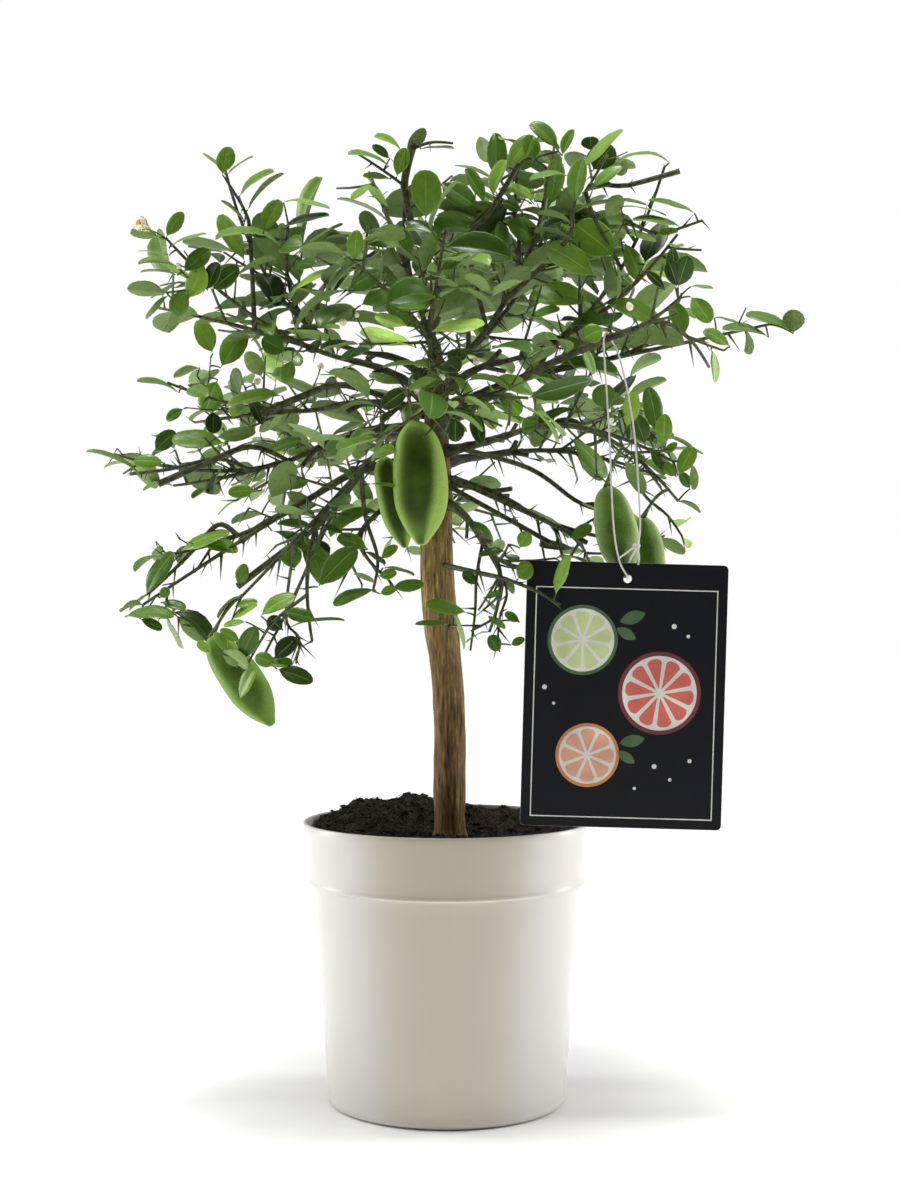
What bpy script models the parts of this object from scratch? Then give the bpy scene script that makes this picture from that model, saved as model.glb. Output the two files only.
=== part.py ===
"""Potted finger lime tree, built in Blender.

A young tree on one clear trunk, with a wide loose crown of small leaves, five finger shaped
fruits, a round plastic pot filled with soil, and a hang tag on a loop of string.

Every size is in millimetres and is turned to metres as each shape is made. The pot stands on
the origin with +Z up, and the front is towards -Y. Places in the crown are polar: a reach from
the crown's axis, a heading in degrees seen from above (0 is +X, 90 is the back, 180 is -X and
270 is the front) and a height above the pot's underside.
"""

import math
import random
from typing import NamedTuple

import bmesh
import bpy
import numpy as np
from mathutils import Matrix, Vector, noise

MM = 0.001
GAP = 0.3
UP = Vector((0, 0, 1))
GOLDEN_ANGLE = math.radians(137.5)

# Pot: a blow moulded grower's pot with a deep collar and a slightly tapered body
POT_HEIGHT = 186.0
POT_RIM_RADIUS = 95.0
POT_COLLAR_HEIGHT = 40.0
POT_COLLAR_FOOT_RADIUS = 92.5
POT_SHOULDER_RADIUS = 89.0
POT_BASE_RADIUS = 78.5
POT_CORNER_RADIUS = 5.0
POT_WALL = 2.2
POT_STEPS = 30

# Soil: peat a finger's breadth below the rim, heaped up behind the trunk on the left
SOIL_HEIGHT = 175.0
SOIL_SEAT_RADIUS = 24.0
SOIL_HEAP_HEIGHT = 20.0
SOIL_HEAP_PLACE = Vector((-22.0, 42.0))
SOIL_HEAP_WIDTH = 30.0
SOIL_LUMP = 3.0
SOIL_RINGS = (0.24, 0.42, 0.6, 0.78, 0.92)
SOIL_STEPS = 26

# Trunk: radius by height, and a lean to the left between two heights
TRUNK_FOOT_X = 2.0
TRUNK_LEAN = 9.0
TRUNK_LEAN_FROM = 240.0
TRUNK_LEAN_TO = 370.0
TRUNK_FOOT = SOIL_HEIGHT + GAP
TRUNK_RADII = (
    (0, 14.0),
    (4, 12.0),
    (14, 10.9),
    (55, 10.3),
    (100, 10.5),
    (150, 11.5),
    (195, 10.8),
    (230, 9.6),
    (262, 8.4),
    (292, 7.0),
    (315, 6.2),
)
CROWN_X = TRUNK_FOOT_X - TRUNK_LEAN

# Tag: a card that hangs straight down from its bough
TAG_WIDTH = 126.0
TAG_HEIGHT = 166.0
TAG_THICKNESS = 1.0
TAG_CORNER = 2.0
TAG_HOLE_RADIUS = 2.6
TAG_HOLE_DROP = 10.0
TAG_CENTRE = Vector((111.0, -74.0, 273.0))
TAG_TURN = 1.6
STRING_RADIUS = 0.7
STRING_SIDES_APART = 8.0

# Crown: its height, and its left and right edges there seen from the front
CROWN_EDGES = (
    (296, -172, 64),
    (318, -202, 80),
    (331, -219, 106),
    (352, -209, 152),
    (372, -192, 164),
    (392, -172, 170),
    (410, -204, 178),
    (424, -236, 178),
    (438, -210, 164),
    (462, -188, 156),
    (478, -193, 184),
    (492, -172, 200),
    (504, -186, 240),
    (520, -208, 246),
    (532, -206, 192),
    (550, -206, 172),
    (568, -216, 164),
    (585, -204, 176),
    (598, -160, 166),
    (612, -162, 150),
    (630, -166, 160),
    (640, -64, 126),
    (653, -56, 118),
)

# Leaves: the outline is in shares of the length and width, from the root to the blunt tip, and
# the root is sunk past the middle of its twig
LEAF_LENGTH = 40.0
LEAF_WIDTH_SHARE = 0.52
LEAF_THICKNESS = 1.3
LEAF_OUTLINE = ((0.0, 0.0), (0.52, 0.5), (1.0, 0.2), (1.0, -0.2), (0.52, -0.5))
LEAF_PEAK = 0.4
LEAF_SUNK = 0.3
LEAF_SPACING = 14.0

# Twigs: radii at the root and tip, and what points of a leaf keep from other leaves and twigs,
# from another mass's space and from limbs
TWIG_RADII = (1.4, 1.1)
SHOOT_RADII = (3.0, 1.8)
LEAF_CLEARANCE = 5.5
TWIG_CLEARANCE = 2.4
SPACE_MARGIN = 1.2
LIMB_MARGIN = 1.5


class Bough(NamedTuple):
    """One tapering limb, from the trunk's side to the place where its foliage starts."""

    name: str
    root_height: float
    rise: float
    reach: float
    heading: float
    height: float
    root_radius: float
    tip_radius: float


class Mass(NamedTuple):
    """Foliage on one bough: its shoots' ends, the longest side twig and the twigs a shoot has."""

    name: str
    bough: str
    shoots: tuple
    spread: float
    twigs: int
    seed: int


class Fruit(NamedTuple):
    """A fruit that hangs from a shoot, given by the place and height of its stalk end."""

    mass: str
    reach: float
    heading: float
    height: float
    lean: float
    lean_heading: float
    length: float
    radius: float


BOUGHS = (
    Bough("bough_leader", 490, 85, 6, 170, 512, 4.6, 3.2),
    Bough("bough_top_right", 482, 60, 22, 350, 497, 4.0, 3.0),
    Bough("bough_top_back", 476, 50, 37, 50, 500, 4.2, 2.8),
    Bough("bough_right_high", 471, 50, 45, 345, 488, 4.2, 2.8),
    Bough("bough_right_far", 458, 30, 92, 2, 487, 4.6, 3.2),
    Bough("bough_left_high", 480, 50, 42, 172, 495, 4.2, 2.8),
    Bough("bough_left_up", 468, 38, 60, 201, 488, 4.2, 2.8),
    Bough("bough_front_high", 474, 40, 40, 266, 486, 4.2, 2.8),
    Bough("bough_tag", 449, 28, 146, 327, 501, 4.4, 3.0),
    Bough("bough_back_high", 464, 45, 48, 92, 490, 4.2, 2.8),
    Bough("bough_left_far", 444, 10, 82, 181, 430, 4.8, 3.0),
    Bough("bough_left_mid", 456, 20, 81, 158, 461, 4.6, 3.0),
    Bough("bough_right_mid", 430, 8, 68, 324, 441, 4.4, 2.8),
    Bough("bough_right_back", 424, 10, 66, 28, 432, 4.4, 2.8),
    Bough("bough_right_low", 410, -8, 56, 4, 393, 4.2, 2.6),
    Bough("bough_left_low", 422, 5, 85, 207, 401, 4.6, 2.8),
    Bough("bough_front_left", 434, 8, 82, 230, 408, 4.6, 2.8),
    Bough("bough_front_right", 395, -15, 49, 308, 369, 4.2, 2.6),
    Bough("bough_low_left", 402, -5, 39, 199, 390, 4.2, 2.6),
    Bough("bough_back_low", 410, 8, 65, 92, 412, 4.4, 2.8),
    Bough("bough_back_left", 437, 15, 85, 131, 440, 4.6, 2.8),
    Bough("bough_front_mid", 441, 15, 60, 280, 454, 4.4, 2.8),
)

MASSES = (
    Mass("leaves_leader", "bough_leader", ((20, 185, 626), (60, 140, 622)), 60, 5, 11),
    Mass("leaves_top_right", "bough_top_right", ((78, 2, 632), (56, 48, 628)), 60, 5, 12),
    Mass("leaves_top_back", "bough_top_back", ((126, 22, 636), (142, 56, 614)), 62, 5, 13),
    Mass("leaves_right_high", "bough_right_high", ((150, 350, 612), (166, 336, 562)), 60, 6, 14),
    Mass("leaves_right_far", "bough_right_far", ((220, 0, 514), (172, 14, 540)), 48, 5, 15),
    Mass("leaves_left_high", "bough_left_high", ((142, 176, 622), (104, 205, 572)), 62, 6, 16),
    Mass("leaves_left_up", "bough_left_up", ((178, 198, 560), (182, 187, 522)), 58, 6, 17),
    Mass("leaves_front_high", "bough_front_high", ((124, 273, 556), (128, 246, 540)), 60, 5, 18),
    Mass("leaves_tag", "bough_tag", ((176, 328, 518), (182, 342, 480)), 44, 4, 19),
    Mass("leaves_back_high", "bough_back_high", ((136, 105, 604), (168, 80, 568)), 62, 5, 20),
    Mass("leaves_left_far", "bough_left_far", ((212, 181, 428), (176, 176, 408)), 46, 4, 21),
    Mass("leaves_left_mid", "bough_left_mid", ((190, 166, 480), (194, 152, 456)), 50, 4, 22),
    Mass("leaves_right_mid", "bough_right_mid", ((162, 338, 420), (160, 347, 396)), 46, 4, 23),
    Mass("leaves_right_back", "bough_right_back", ((164, 20, 416), (176, 40, 458)), 52, 4, 24),
    Mass("leaves_right_low", "bough_right_low", ((152, 8, 370), (116, 27, 360)), 44, 4, 25),
    Mass("leaves_left_low", "bough_left_low", ((198, 203, 330), (184, 198, 360)), 46, 4, 26),
    Mass("leaves_front_left", "bough_front_left", ((158, 222, 336), (128, 234, 308)), 44, 5, 27),
    Mass("leaves_front_right", "bough_front_right", ((98, 318, 352), (58, 306, 312)), 38, 4, 28),
    Mass("leaves_low_left", "bough_low_left", ((68, 212, 350), (58, 238, 346)), 36, 3, 29),
    Mass("leaves_back_low", "bough_back_low", ((144, 103, 376), (156, 68, 388)), 52, 3, 30),
    Mass("leaves_back_left", "bough_back_left", ((190, 140, 402), (194, 134, 488)), 52, 4, 31),
    Mass("leaves_front_mid", "bough_front_mid", ((138, 256, 430), (142, 293, 454)), 48, 4, 32),
    Mass("leaves_trunk_front", "", ((62, 250, 466), (40, 205, 452)), 34, 2, 33),
)

FRUITS = (
    Fruit("leaves_trunk_front", 59, 257, 446, 3, 0, 79, 18.0),
    Fruit("leaves_trunk_front", 46, 221, 425, 14, 0, 61, 11.0),
    Fruit("leaves_front_left", 176, 219, 311, 35, 0, 66, 13.0),
    Fruit("leaves_right_mid", 118, 337, 405, 12, 0, 60, 13.8),
    Fruit("leaves_right_mid", 136, 351, 386, 5, 0, 58, 12.0),
)

# Where the stem without a bough leaves the trunk
TRUNK_STEM_HEIGHT = 456.0

COLOURS = {
    "pot": (0.74, 0.72, 0.68, 0.35),
    "soil": (0.016, 0.012, 0.009, 0.95),
    "trunk": (0.16, 0.105, 0.05, 0.8),
    "bough": (0.055, 0.05, 0.022, 0.75),
    "leaves": (0.06, 0.15, 0.018, 0.45),
    "tag": (0.008, 0.009, 0.014, 0.4),
    "string": (0.75, 0.74, 0.7, 0.7),
}


def polar(reach, heading, height):
    """The point at a reach and heading from the crown's axis."""
    angle = math.radians(heading)
    return Vector((CROWN_X + reach * math.cos(angle), reach * math.sin(angle), height))


def slope(heading, rise):
    """The unit direction with a heading and a rise above level, both in degrees."""
    angle, climb = math.radians(heading), math.radians(rise)
    level = math.cos(climb)
    return Vector((level * math.cos(angle), level * math.sin(angle), math.sin(climb)))


def smooth(value):
    value = min(max(value, 0.0), 1.0)
    return value * value * (3 - 2 * value)


def bezier(start, middle, end, pieces):
    """Points along the quadratic curve with these three control points."""
    steps = [i / pieces for i in range(pieces + 1)]
    return [(1 - t) ** 2 * start + 2 * t * (1 - t) * middle + t * t * end for t in steps]


def taper(radii, count):
    """Evenly falling radii for that many points."""
    root, tip = radii
    return [root + (tip - root) * i / (count - 1) for i in range(count)]


def trunk_point(height):
    share = (height - TRUNK_LEAN_FROM) / (TRUNK_LEAN_TO - TRUNK_LEAN_FROM)
    return Vector((TRUNK_FOOT_X - TRUNK_LEAN * smooth(share), 0, height))


def trunk_radius(height):
    heights = [TRUNK_FOOT + above for above, _ in TRUNK_RADII]
    return float(np.interp(height, heights, [radius for _, radius in TRUNK_RADII]))


def start_scene():
    """Clears the scene and gives the collections for the parts and for the helpers."""
    for obj in list(bpy.data.objects):
        bpy.data.objects.remove(obj)
    parts = bpy.data.collections.new("finger_lime_tree")
    helpers = bpy.data.collections.new("helpers")
    for collection in (parts, helpers):
        bpy.context.scene.collection.children.link(collection)
    helpers.hide_render = True
    return parts, helpers


def add_object(name, data, collection, finish=None):
    obj = bpy.data.objects.new(name, data)
    collection.objects.link(obj)
    if finish:
        red, green, blue, roughness = COLOURS[finish]
        material = bpy.data.materials.new(name)
        material.use_nodes = True
        shader = material.node_tree.nodes["Principled BSDF"]
        shader.inputs["Base Color"].default_value = (red, green, blue, 1)
        shader.inputs["Roughness"].default_value = roughness
        data.materials.clear()
        data.materials.append(material)
    return obj


def evaluated_mesh(obj):
    """The object's mesh as its modifiers or its curve settings make it, with its seams welded."""
    bpy.context.view_layer.update()
    graph = bpy.context.evaluated_depsgraph_get()
    mesh = bpy.data.meshes.new_from_object(obj.evaluated_get(graph))
    shape = bmesh.new()
    shape.from_mesh(mesh)
    bmesh.ops.remove_doubles(shape, verts=shape.verts, dist=1e-7)
    if obj.type == "CURVE":
        bmesh.ops.recalc_face_normals(shape, faces=shape.faces)
    shape.to_mesh(mesh)
    shape.free()
    return mesh


def turned(name, profile, steps, collection, finish):
    """A solid of revolution about Z from a profile that runs down its outer side."""
    mesh = bpy.data.meshes.new(name)
    points = [(radius * MM, 0, height * MM) for radius, height in profile]
    mesh.from_pydata(points, [(i, i + 1) for i in range(len(points) - 1)], [])
    obj = add_object(name, mesh, collection, finish)
    screw = obj.modifiers.new("turn", "SCREW")
    screw.steps = steps
    screw.render_steps = steps
    screw.use_merge_vertices = True
    screw.merge_threshold = 0.0001
    screw.use_normal_calculate = False
    return obj


def tube(name, points, radii, collection, finish=None, bevel=None, resolution=1, loop=False):
    """A curve with a radius at each point, round or with the outline of the bevel object."""
    curve = bpy.data.curves.new(name, "CURVE")
    curve.dimensions = "3D"
    curve.use_fill_caps = True
    if bevel:
        curve.bevel_mode = "OBJECT"
        curve.bevel_object = bevel
    else:
        curve.bevel_depth = MM
        curve.bevel_resolution = resolution
    spline = curve.splines.new("POLY")
    spline.points.add(len(points) - 1)
    for knot, point, radius in zip(spline.points, points, radii):
        knot.co = (*(point * MM), 1)
        knot.radius = radius
    spline.use_cyclic_u = loop
    return add_object(name, curve, collection, finish)


def make_pot(parts):
    """Collar, shoulder step and tapered body outside, and the same lines a wall's width inside."""
    step_height = POT_HEIGHT - POT_COLLAR_HEIGHT
    corner = [math.radians(a) for a in (0, 30, 60, 90)]
    foot = [
        (
            POT_BASE_RADIUS - POT_CORNER_RADIUS * (1 - math.cos(a)),
            POT_CORNER_RADIUS * (1 - math.sin(a)),
        )
        for a in corner
    ]
    profile = [
        (0, POT_WALL),
        (POT_BASE_RADIUS - POT_WALL - 2, POT_WALL),
        (POT_SHOULDER_RADIUS - POT_WALL, step_height - 1),
        (POT_COLLAR_FOOT_RADIUS - POT_WALL, step_height + 2),
        (POT_RIM_RADIUS - POT_WALL, POT_HEIGHT - 1),
        (POT_RIM_RADIUS - POT_WALL / 2, POT_HEIGHT),
        (POT_RIM_RADIUS, POT_HEIGHT - 1),
        (POT_COLLAR_FOOT_RADIUS, step_height + 1),
        (POT_COLLAR_FOOT_RADIUS - 1, step_height),
        (POT_SHOULDER_RADIUS, step_height - 1),
        *foot,
        (0, 0),
    ]
    return turned("pot", profile, POT_STEPS, parts, "pot")


def soil_top(x, y):
    """Height of the soil: flat round the trunk, lumpy elsewhere, heaped at the back left."""
    off = Vector((x - TRUNK_FOOT_X, y))
    share = smooth((off.length - SOIL_SEAT_RADIUS) / SOIL_SEAT_RADIUS)
    from_heap = (Vector((x, y)) - SOIL_HEAP_PLACE).length / SOIL_HEAP_WIDTH
    heap = SOIL_HEAP_HEIGHT * math.exp(-from_heap * from_heap)
    lump = SOIL_LUMP * noise.noise(Vector((x / 17, y / 17, 0)))
    return SOIL_HEIGHT + share * (heap + lump)


def make_soil(parts):
    """A turned body that fits the pot's inside, with the points of its top set by soil_top."""
    step_height = POT_HEIGHT - POT_COLLAR_HEIGHT
    clear = POT_WALL + GAP + 0.6
    edge = POT_COLLAR_FOOT_RADIUS - clear
    base = POT_BASE_RADIUS - clear - 3
    profile = [(0, SOIL_HEIGHT)]
    profile += [(share * edge, SOIL_HEIGHT) for share in SOIL_RINGS]
    profile += [
        (edge, SOIL_HEIGHT - 1),
        (edge, step_height + 6),
        (POT_SHOULDER_RADIUS - clear, step_height - 1),
        (base, POT_WALL + GAP),
        (0, POT_WALL + GAP),
    ]
    obj = turned("soil", profile, SOIL_STEPS, parts, "soil")
    mesh = evaluated_mesh(obj)
    for vertex in mesh.vertices:
        if vertex.co.z > (SOIL_HEIGHT - 2) * MM:
            x, y = vertex.co.x / MM, vertex.co.y / MM
            low = 4 * smooth((math.hypot(x, y) / edge - 0.8) / 0.2)
            vertex.co.z = (soil_top(x, y) - low) * MM
    finish = obj.data.materials[0]
    obj.modifiers.clear()
    obj.data = mesh
    mesh.materials.clear()
    mesh.materials.append(finish)
    return obj


def make_trunk(parts):
    heights = [TRUNK_FOOT + above for above, _ in TRUNK_RADII]
    points = [trunk_point(height) for height in heights]
    points[1].x = points[0].x
    points[-1].x = points[-2].x
    radii = [radius for _, radius in TRUNK_RADII]
    return tube("trunk", points, radii, parts, "trunk", resolution=4)


def grow(start, way, end, share):
    """A limb's line, which leaves its start one way and bends round to its end."""
    return bezier(start, start + way * (end - start).length * share, end, 4)


def grow_off(seat, out, radius, way, end, share):
    """The same, with its start moved out from its seat until its whole foot stands clear."""
    line = grow(seat, way, end, share)
    lean = (line[1] - line[0]).normalized().dot(out)
    start = seat + out * (GAP + radius * math.sqrt(1 - min(lean * lean, 1)))
    return grow(start, way, end, share)


def bough_points(bough):
    """From just off the trunk's bark, or its top, to the tip, rising and then levelling out."""
    out = slope(bough.heading, 0)
    top = TRUNK_FOOT + TRUNK_RADII[-1][0]
    if bough.root_height >= top - 1:
        seat, out = trunk_point(top), UP
    else:
        seat = trunk_point(bough.root_height) + out * trunk_radius(bough.root_height)
    end = polar(bough.reach, bough.heading, bough.height)
    return grow_off(seat, out, bough.root_radius, slope(bough.heading, bough.rise), end, 0.5)


def shoot_points(mass, number):
    """The line of one of a mass's shoots. The first carries on from its bough's tip, or leaves
    the trunk, and the others branch from it.
    """
    end = polar(*mass.shoots[number])
    if number:
        first = shoot_points(mass, 0)
        onward = (first[1] - first[0]).normalized()
        return grow(first[0].lerp(first[1], 0.8), onward, end, 0.45)
    if mass.bough:
        limb = bough_points(next(b for b in BOUGHS if b.name == mass.bough))
        onward = (limb[-1] - limb[-2]).normalized()
        return grow_off(limb[-1], onward, SHOOT_RADII[0], onward, end, 0.45)
    heading = mass.shoots[0][1]
    out = slope(heading, 0)
    seat = trunk_point(TRUNK_STEM_HEIGHT) + out * trunk_radius(TRUNK_STEM_HEIGHT)
    return grow_off(seat, out, SHOOT_RADII[0], slope(heading, 20), end, 0.45)


def fruit_ends(fruit):
    """The stalk end and the tip of a fruit."""
    top = polar(fruit.reach, fruit.heading, fruit.height)
    return top, top + slope(fruit.lean_heading, fruit.lean - 90) * fruit.length


def tag_bough_point():
    """The place on the tag's bough that its string hangs over, and the bough's radius there."""
    bough = next(b for b in BOUGHS if b.name == "bough_tag")
    points = bough_points(bough)
    radii = taper((bough.root_radius, bough.tip_radius), len(points))
    return (points[-2] + points[-1]) / 2, (radii[-2] + radii[-1]) / 2


class Spaces:
    """Tells whose space a point is in, and how far it is from the limbs, fruits and tag."""

    def __init__(self):
        self.starts, self.ends, self.owners = [], [], []
        for mass in MASSES:
            for number in range(len(mass.shoots)):
                self.add(shoot_points(mass, number), mass.name)
        count = len(self.starts)
        self.radii = [0.0] * count
        trunk = [trunk_point(TRUNK_FOOT + above) for above, _ in TRUNK_RADII]
        self.add_limb(trunk, max(radius for _, radius in TRUNK_RADII[4:]))
        for bough in BOUGHS:
            self.add_limb(bough_points(bough), bough.root_radius)
        for fruit in FRUITS:
            top, tip = fruit_ends(fruit)
            inset = (tip - top).normalized() * fruit.radius * 0.7
            self.add_limb([top + inset, tip - inset], fruit.radius)
        over, _ = tag_bough_point()
        self.add_limb([over, Vector((TAG_CENTRE.x, over.y, TAG_CENTRE.z))], STRING_SIDES_APART)
        self.starts = np.array(self.starts)
        self.runs = np.array(self.ends) - self.starts
        self.lengths = (self.runs**2).sum(axis=1)
        self.radii = np.array(self.radii)
        self.owners = np.array(self.owners)
        self.is_shoot = np.arange(len(self.owners)) < count

    def add(self, points, owner):
        for start, end in zip(points, points[1:]):
            self.starts.append(tuple(start))
            self.ends.append(tuple(end))
            self.owners.append(owner)

    def add_limb(self, points, radius):
        before = len(self.starts)
        self.add(points, "limb")
        self.radii += [radius] * (len(self.starts) - before)

    def distances(self, points):
        """One row a point, one column a stretch of shoot or limb."""
        spots = np.array([tuple(point) for point in points])[:, None, :]
        along = ((spots - self.starts) * self.runs).sum(axis=2) / self.lengths
        nearest = self.starts + np.clip(along, 0, 1)[..., None] * self.runs
        return np.linalg.norm(spots - nearest, axis=2) - self.radii

    def holds(self, points, owner):
        """Whether all these points are in the owner's space, off the limbs and off the tag."""
        found = self.distances(points)
        own = found[:, self.owners == owner].min(axis=1)
        others = found[:, self.is_shoot & (self.owners != owner)].min(axis=1)
        limbs = found[:, ~self.is_shoot].min(axis=1)
        if (own + SPACE_MARGIN > others).any() or (limbs < LIMB_MARGIN).any():
            return False
        return not any(in_tag(point) or off_crown(point) for point in points)


def in_tag(point):
    off = point - TAG_CENTRE
    margin = 3
    return (
        abs(off.x) < TAG_WIDTH / 2 + 4 + margin
        and abs(off.z) < TAG_HEIGHT / 2 + 2 + margin
        and abs(off.y) < TAG_THICKNESS / 2 + margin
    )


def off_crown(point):
    """Whether a point lies beyond the crown's outline, or above its top."""
    heights, lefts, rights = zip(*CROWN_EDGES)
    left = np.interp(point.z, heights, lefts)
    right = np.interp(point.z, heights, rights)
    return point.z > heights[-1] or not left < point.x < right


def side_twigs(mass, spaces):
    """Side twigs in golden turns round each shoot, shorter towards its end."""
    twigs = []
    for number in range(len(mass.shoots)):
        rng = random.Random(mass.seed * 10 + number)
        line = shoot_points(mass, number)
        turn = rng.uniform(0, math.tau)
        for i in range(mass.twigs):
            share = (i + 0.5) / mass.twigs
            place = share * (len(line) - 1)
            piece = min(int(place), len(line) - 2)
            root = line[piece].lerp(line[piece + 1], place - piece)
            onward = (line[piece + 1] - line[piece]).normalized()
            turn += GOLDEN_ANGLE + rng.uniform(-0.3, 0.3)
            across = onward.cross(UP).normalized()
            aside = across * math.cos(turn) + across.cross(onward) * math.sin(turn)
            lean = math.radians(rng.uniform(48, 68))
            way = (onward * math.cos(lean) + aside * math.sin(lean)).normalized()
            length = mass.spread * (1 - 0.45 * share) * rng.uniform(0.75, 1.1)
            bend = UP * length * rng.uniform(0.02, 0.14)
            for fit in (1.0, 0.75, 0.5):
                reach = way * length * fit
                points = [root, root + reach + bend * fit]
                tests = [points[0].lerp(points[1], part) for part in (0.3, 0.6, 1.0)]
                if spaces.holds(tests, mass.name):
                    twigs.append(points)
                    break
    return twigs


def twig_outline(helpers):
    """The three-sided outline that the shoots and twigs are drawn with."""
    curve = bpy.data.curves.new("twig_outline", "CURVE")
    spline = curve.splines.new("POLY")
    spline.points.add(2)
    for number, knot in enumerate(spline.points):
        angle = math.tau * number / 3
        knot.co = (math.cos(angle) * MM, math.sin(angle) * MM, 0, 1)
    spline.use_cyclic_u = True
    obj = add_object("twig_outline", curve, helpers)
    obj.hide_render = True
    obj.display_type = "WIRE"
    return obj


def leaf_frame(root, along, up, length, width, thick):
    """The matrix that puts the unit leaf's root in a twig, with its tip along a direction."""
    aside = up.cross(along).normalized()
    face = along.cross(aside)
    turn = Matrix((along, aside, face)).transposed().to_4x4()
    size = Matrix.Diagonal(((length + LEAF_SUNK) * MM, width * MM, thick * MM, 1))
    return Matrix.Translation((root - along * LEAF_SUNK) * MM) @ turn @ size


def leaf_spots(points, start, spacing):
    """Places along a twig, each with the twig's direction there."""
    run = sum((b - a).length for a, b in zip(points, points[1:]))
    count = max(int(run * (1 - start) / spacing), 1)
    spots = []
    for i in range(count):
        left = run * (start + (1 - start) * i / count)
        for a, b in zip(points, points[1:]):
            if left <= (b - a).length:
                spots.append((a + (b - a).normalized() * left, (b - a).normalized()))
                break
            left -= (b - a).length
    spots.append((points[-1] - (points[-1] - points[-2]).normalized(), None))
    return spots


def leaves_on(points, mass, spaces, rng, start, spacing, filled):
    """Leaves left and right by turns along a twig, and one at its tip.

    A blade faces up and away from the crown's axis, and keeps off its mass's other leaves.
    """
    made = []
    side = 1 if rng.random() < 0.5 else -1
    tip_way = (points[-1] - points[-2]).normalized()
    for spot, onward in leaf_spots(points, start, spacing):
        side = -side
        at_tip = onward is None
        onward = onward or tip_way
        away = Vector((spot.x - CROWN_X, spot.y, 0)).normalized()
        for size_share in (1.0, 0.92, 0.8, 0.68):
            across = onward.cross(UP).normalized() * side
            if rng.random() < 0.4:
                across = (across + UP * rng.uniform(-1.0, 1.3)).normalized()
            angle = math.radians(rng.uniform(5, 20) if at_tip else rng.uniform(50, 80))
            along = onward * math.cos(angle) + across * math.sin(angle)
            along = (along + UP * rng.uniform(-0.3, 0.3)).normalized()
            tilt = UP * rng.uniform(0.3, 1) + away * rng.uniform(0.1, 1.2)
            tilt += Vector([rng.uniform(-0.6, 0.6) for _ in range(3)])
            if tilt.cross(along).length < 0.3:
                tilt = onward.cross(across)
            length = LEAF_LENGTH * size_share * rng.uniform(0.84, 1.16)
            width = length * LEAF_WIDTH_SHARE * rng.uniform(0.9, 1.08)
            aside = tilt.cross(along).normalized() * width * 0.4
            tests = [
                spot + along * length * share + aside * turn
                for share in (0.35, 0.6, 0.85)
                for turn in (-1, 0, 1)
            ]
            tests.append(spot + along * length)
            if filled.clear(tests) and spaces.holds(tests, mass.name):
                made.append(leaf_frame(spot, along, tilt, length, width, LEAF_THICKNESS))
                filled.points += [tuple(test) for test in tests]
                break
    return made


class Filled:
    """What a mass already holds: its twigs' lines and some points of each leaf."""

    def __init__(self, lines):
        ends = [(tuple(a), tuple(b)) for line in lines for a, b in zip(line, line[1:])]
        self.starts = np.array([start for start, _ in ends])
        self.runs = np.array([end for _, end in ends]) - self.starts
        self.points = []

    def clear(self, tests):
        """Whether these points are off the twigs and off the leaves."""
        spots = np.array([tuple(test) for test in tests])
        gaps = spots[:, None, :] - self.starts
        along = (gaps * self.runs).sum(axis=2) / (self.runs**2).sum(axis=1)
        off = gaps - np.clip(along, 0, 1)[..., None] * self.runs
        if (np.linalg.norm(off, axis=2) < TWIG_CLEARANCE).any():
            return False
        if not self.points:
            return True
        apart = np.linalg.norm(spots[:, None, :] - np.array(self.points), axis=2)
        return not (apart < LEAF_CLEARANCE).any()


def leaf_mesh():
    """The unit leaf along X: a cone flattened to the leaf's outline, with its peak on the rib."""
    shape = bmesh.new()
    bmesh.ops.create_cone(
        shape, cap_ends=True, segments=len(LEAF_OUTLINE), radius1=1, radius2=0, depth=1
    )
    rim = [vertex for vertex in shape.verts if vertex.co.z < 0]
    rim.sort(key=lambda vertex: math.atan2(vertex.co.y, vertex.co.x))
    for vertex in shape.verts:
        vertex.co = (LEAF_PEAK, 0, 1)
    for vertex, (x, y) in zip(rim, LEAF_OUTLINE):
        vertex.co = (x, y, 0)
    bmesh.ops.recalc_face_normals(shape, faces=shape.faces)
    mesh = bpy.data.meshes.new("leaf")
    shape.to_mesh(mesh)
    shape.free()
    return mesh


def fruit_mesh():
    """The unit fruit along -Z from its stalk end at 0, a finger with short pointed ends."""
    shape = bmesh.new()
    bmesh.ops.create_uvsphere(shape, u_segments=8, v_segments=5, radius=1.0)
    for vertex in shape.verts:
        level = abs(vertex.co.z)
        wide = math.hypot(vertex.co.x, vertex.co.y)
        if wide > 1e-6:
            scale = (1 - level**2.3) ** 0.62 / wide
            vertex.co.x *= scale
            vertex.co.y *= scale
        vertex.co.z = (vertex.co.z - 1) / 2
    mesh = bpy.data.meshes.new("fruit")
    shape.to_mesh(mesh)
    shape.free()
    return mesh


def nearest_on(lines, point):
    """The point on a set of lines that is nearest to a point."""
    best = None
    for line in lines:
        for a, b in zip(line, line[1:]):
            run = b - a
            share = min(max((point - a).dot(run) / run.length_squared, 0), 1)
            spot = a + run * share
            if best is None or (spot - point).length < (best - point).length:
                best = spot
    return best


def stalk_points(lines, top, down):
    """A fruit's stalk, which leaves its shoot sideways and droops into the fruit's end."""
    root = nearest_on(lines, top + UP * 14)
    middle = root.lerp(top, 0.5) + UP * (root - top).length * 0.18
    return [root, middle, top + down * 3.5]


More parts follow.
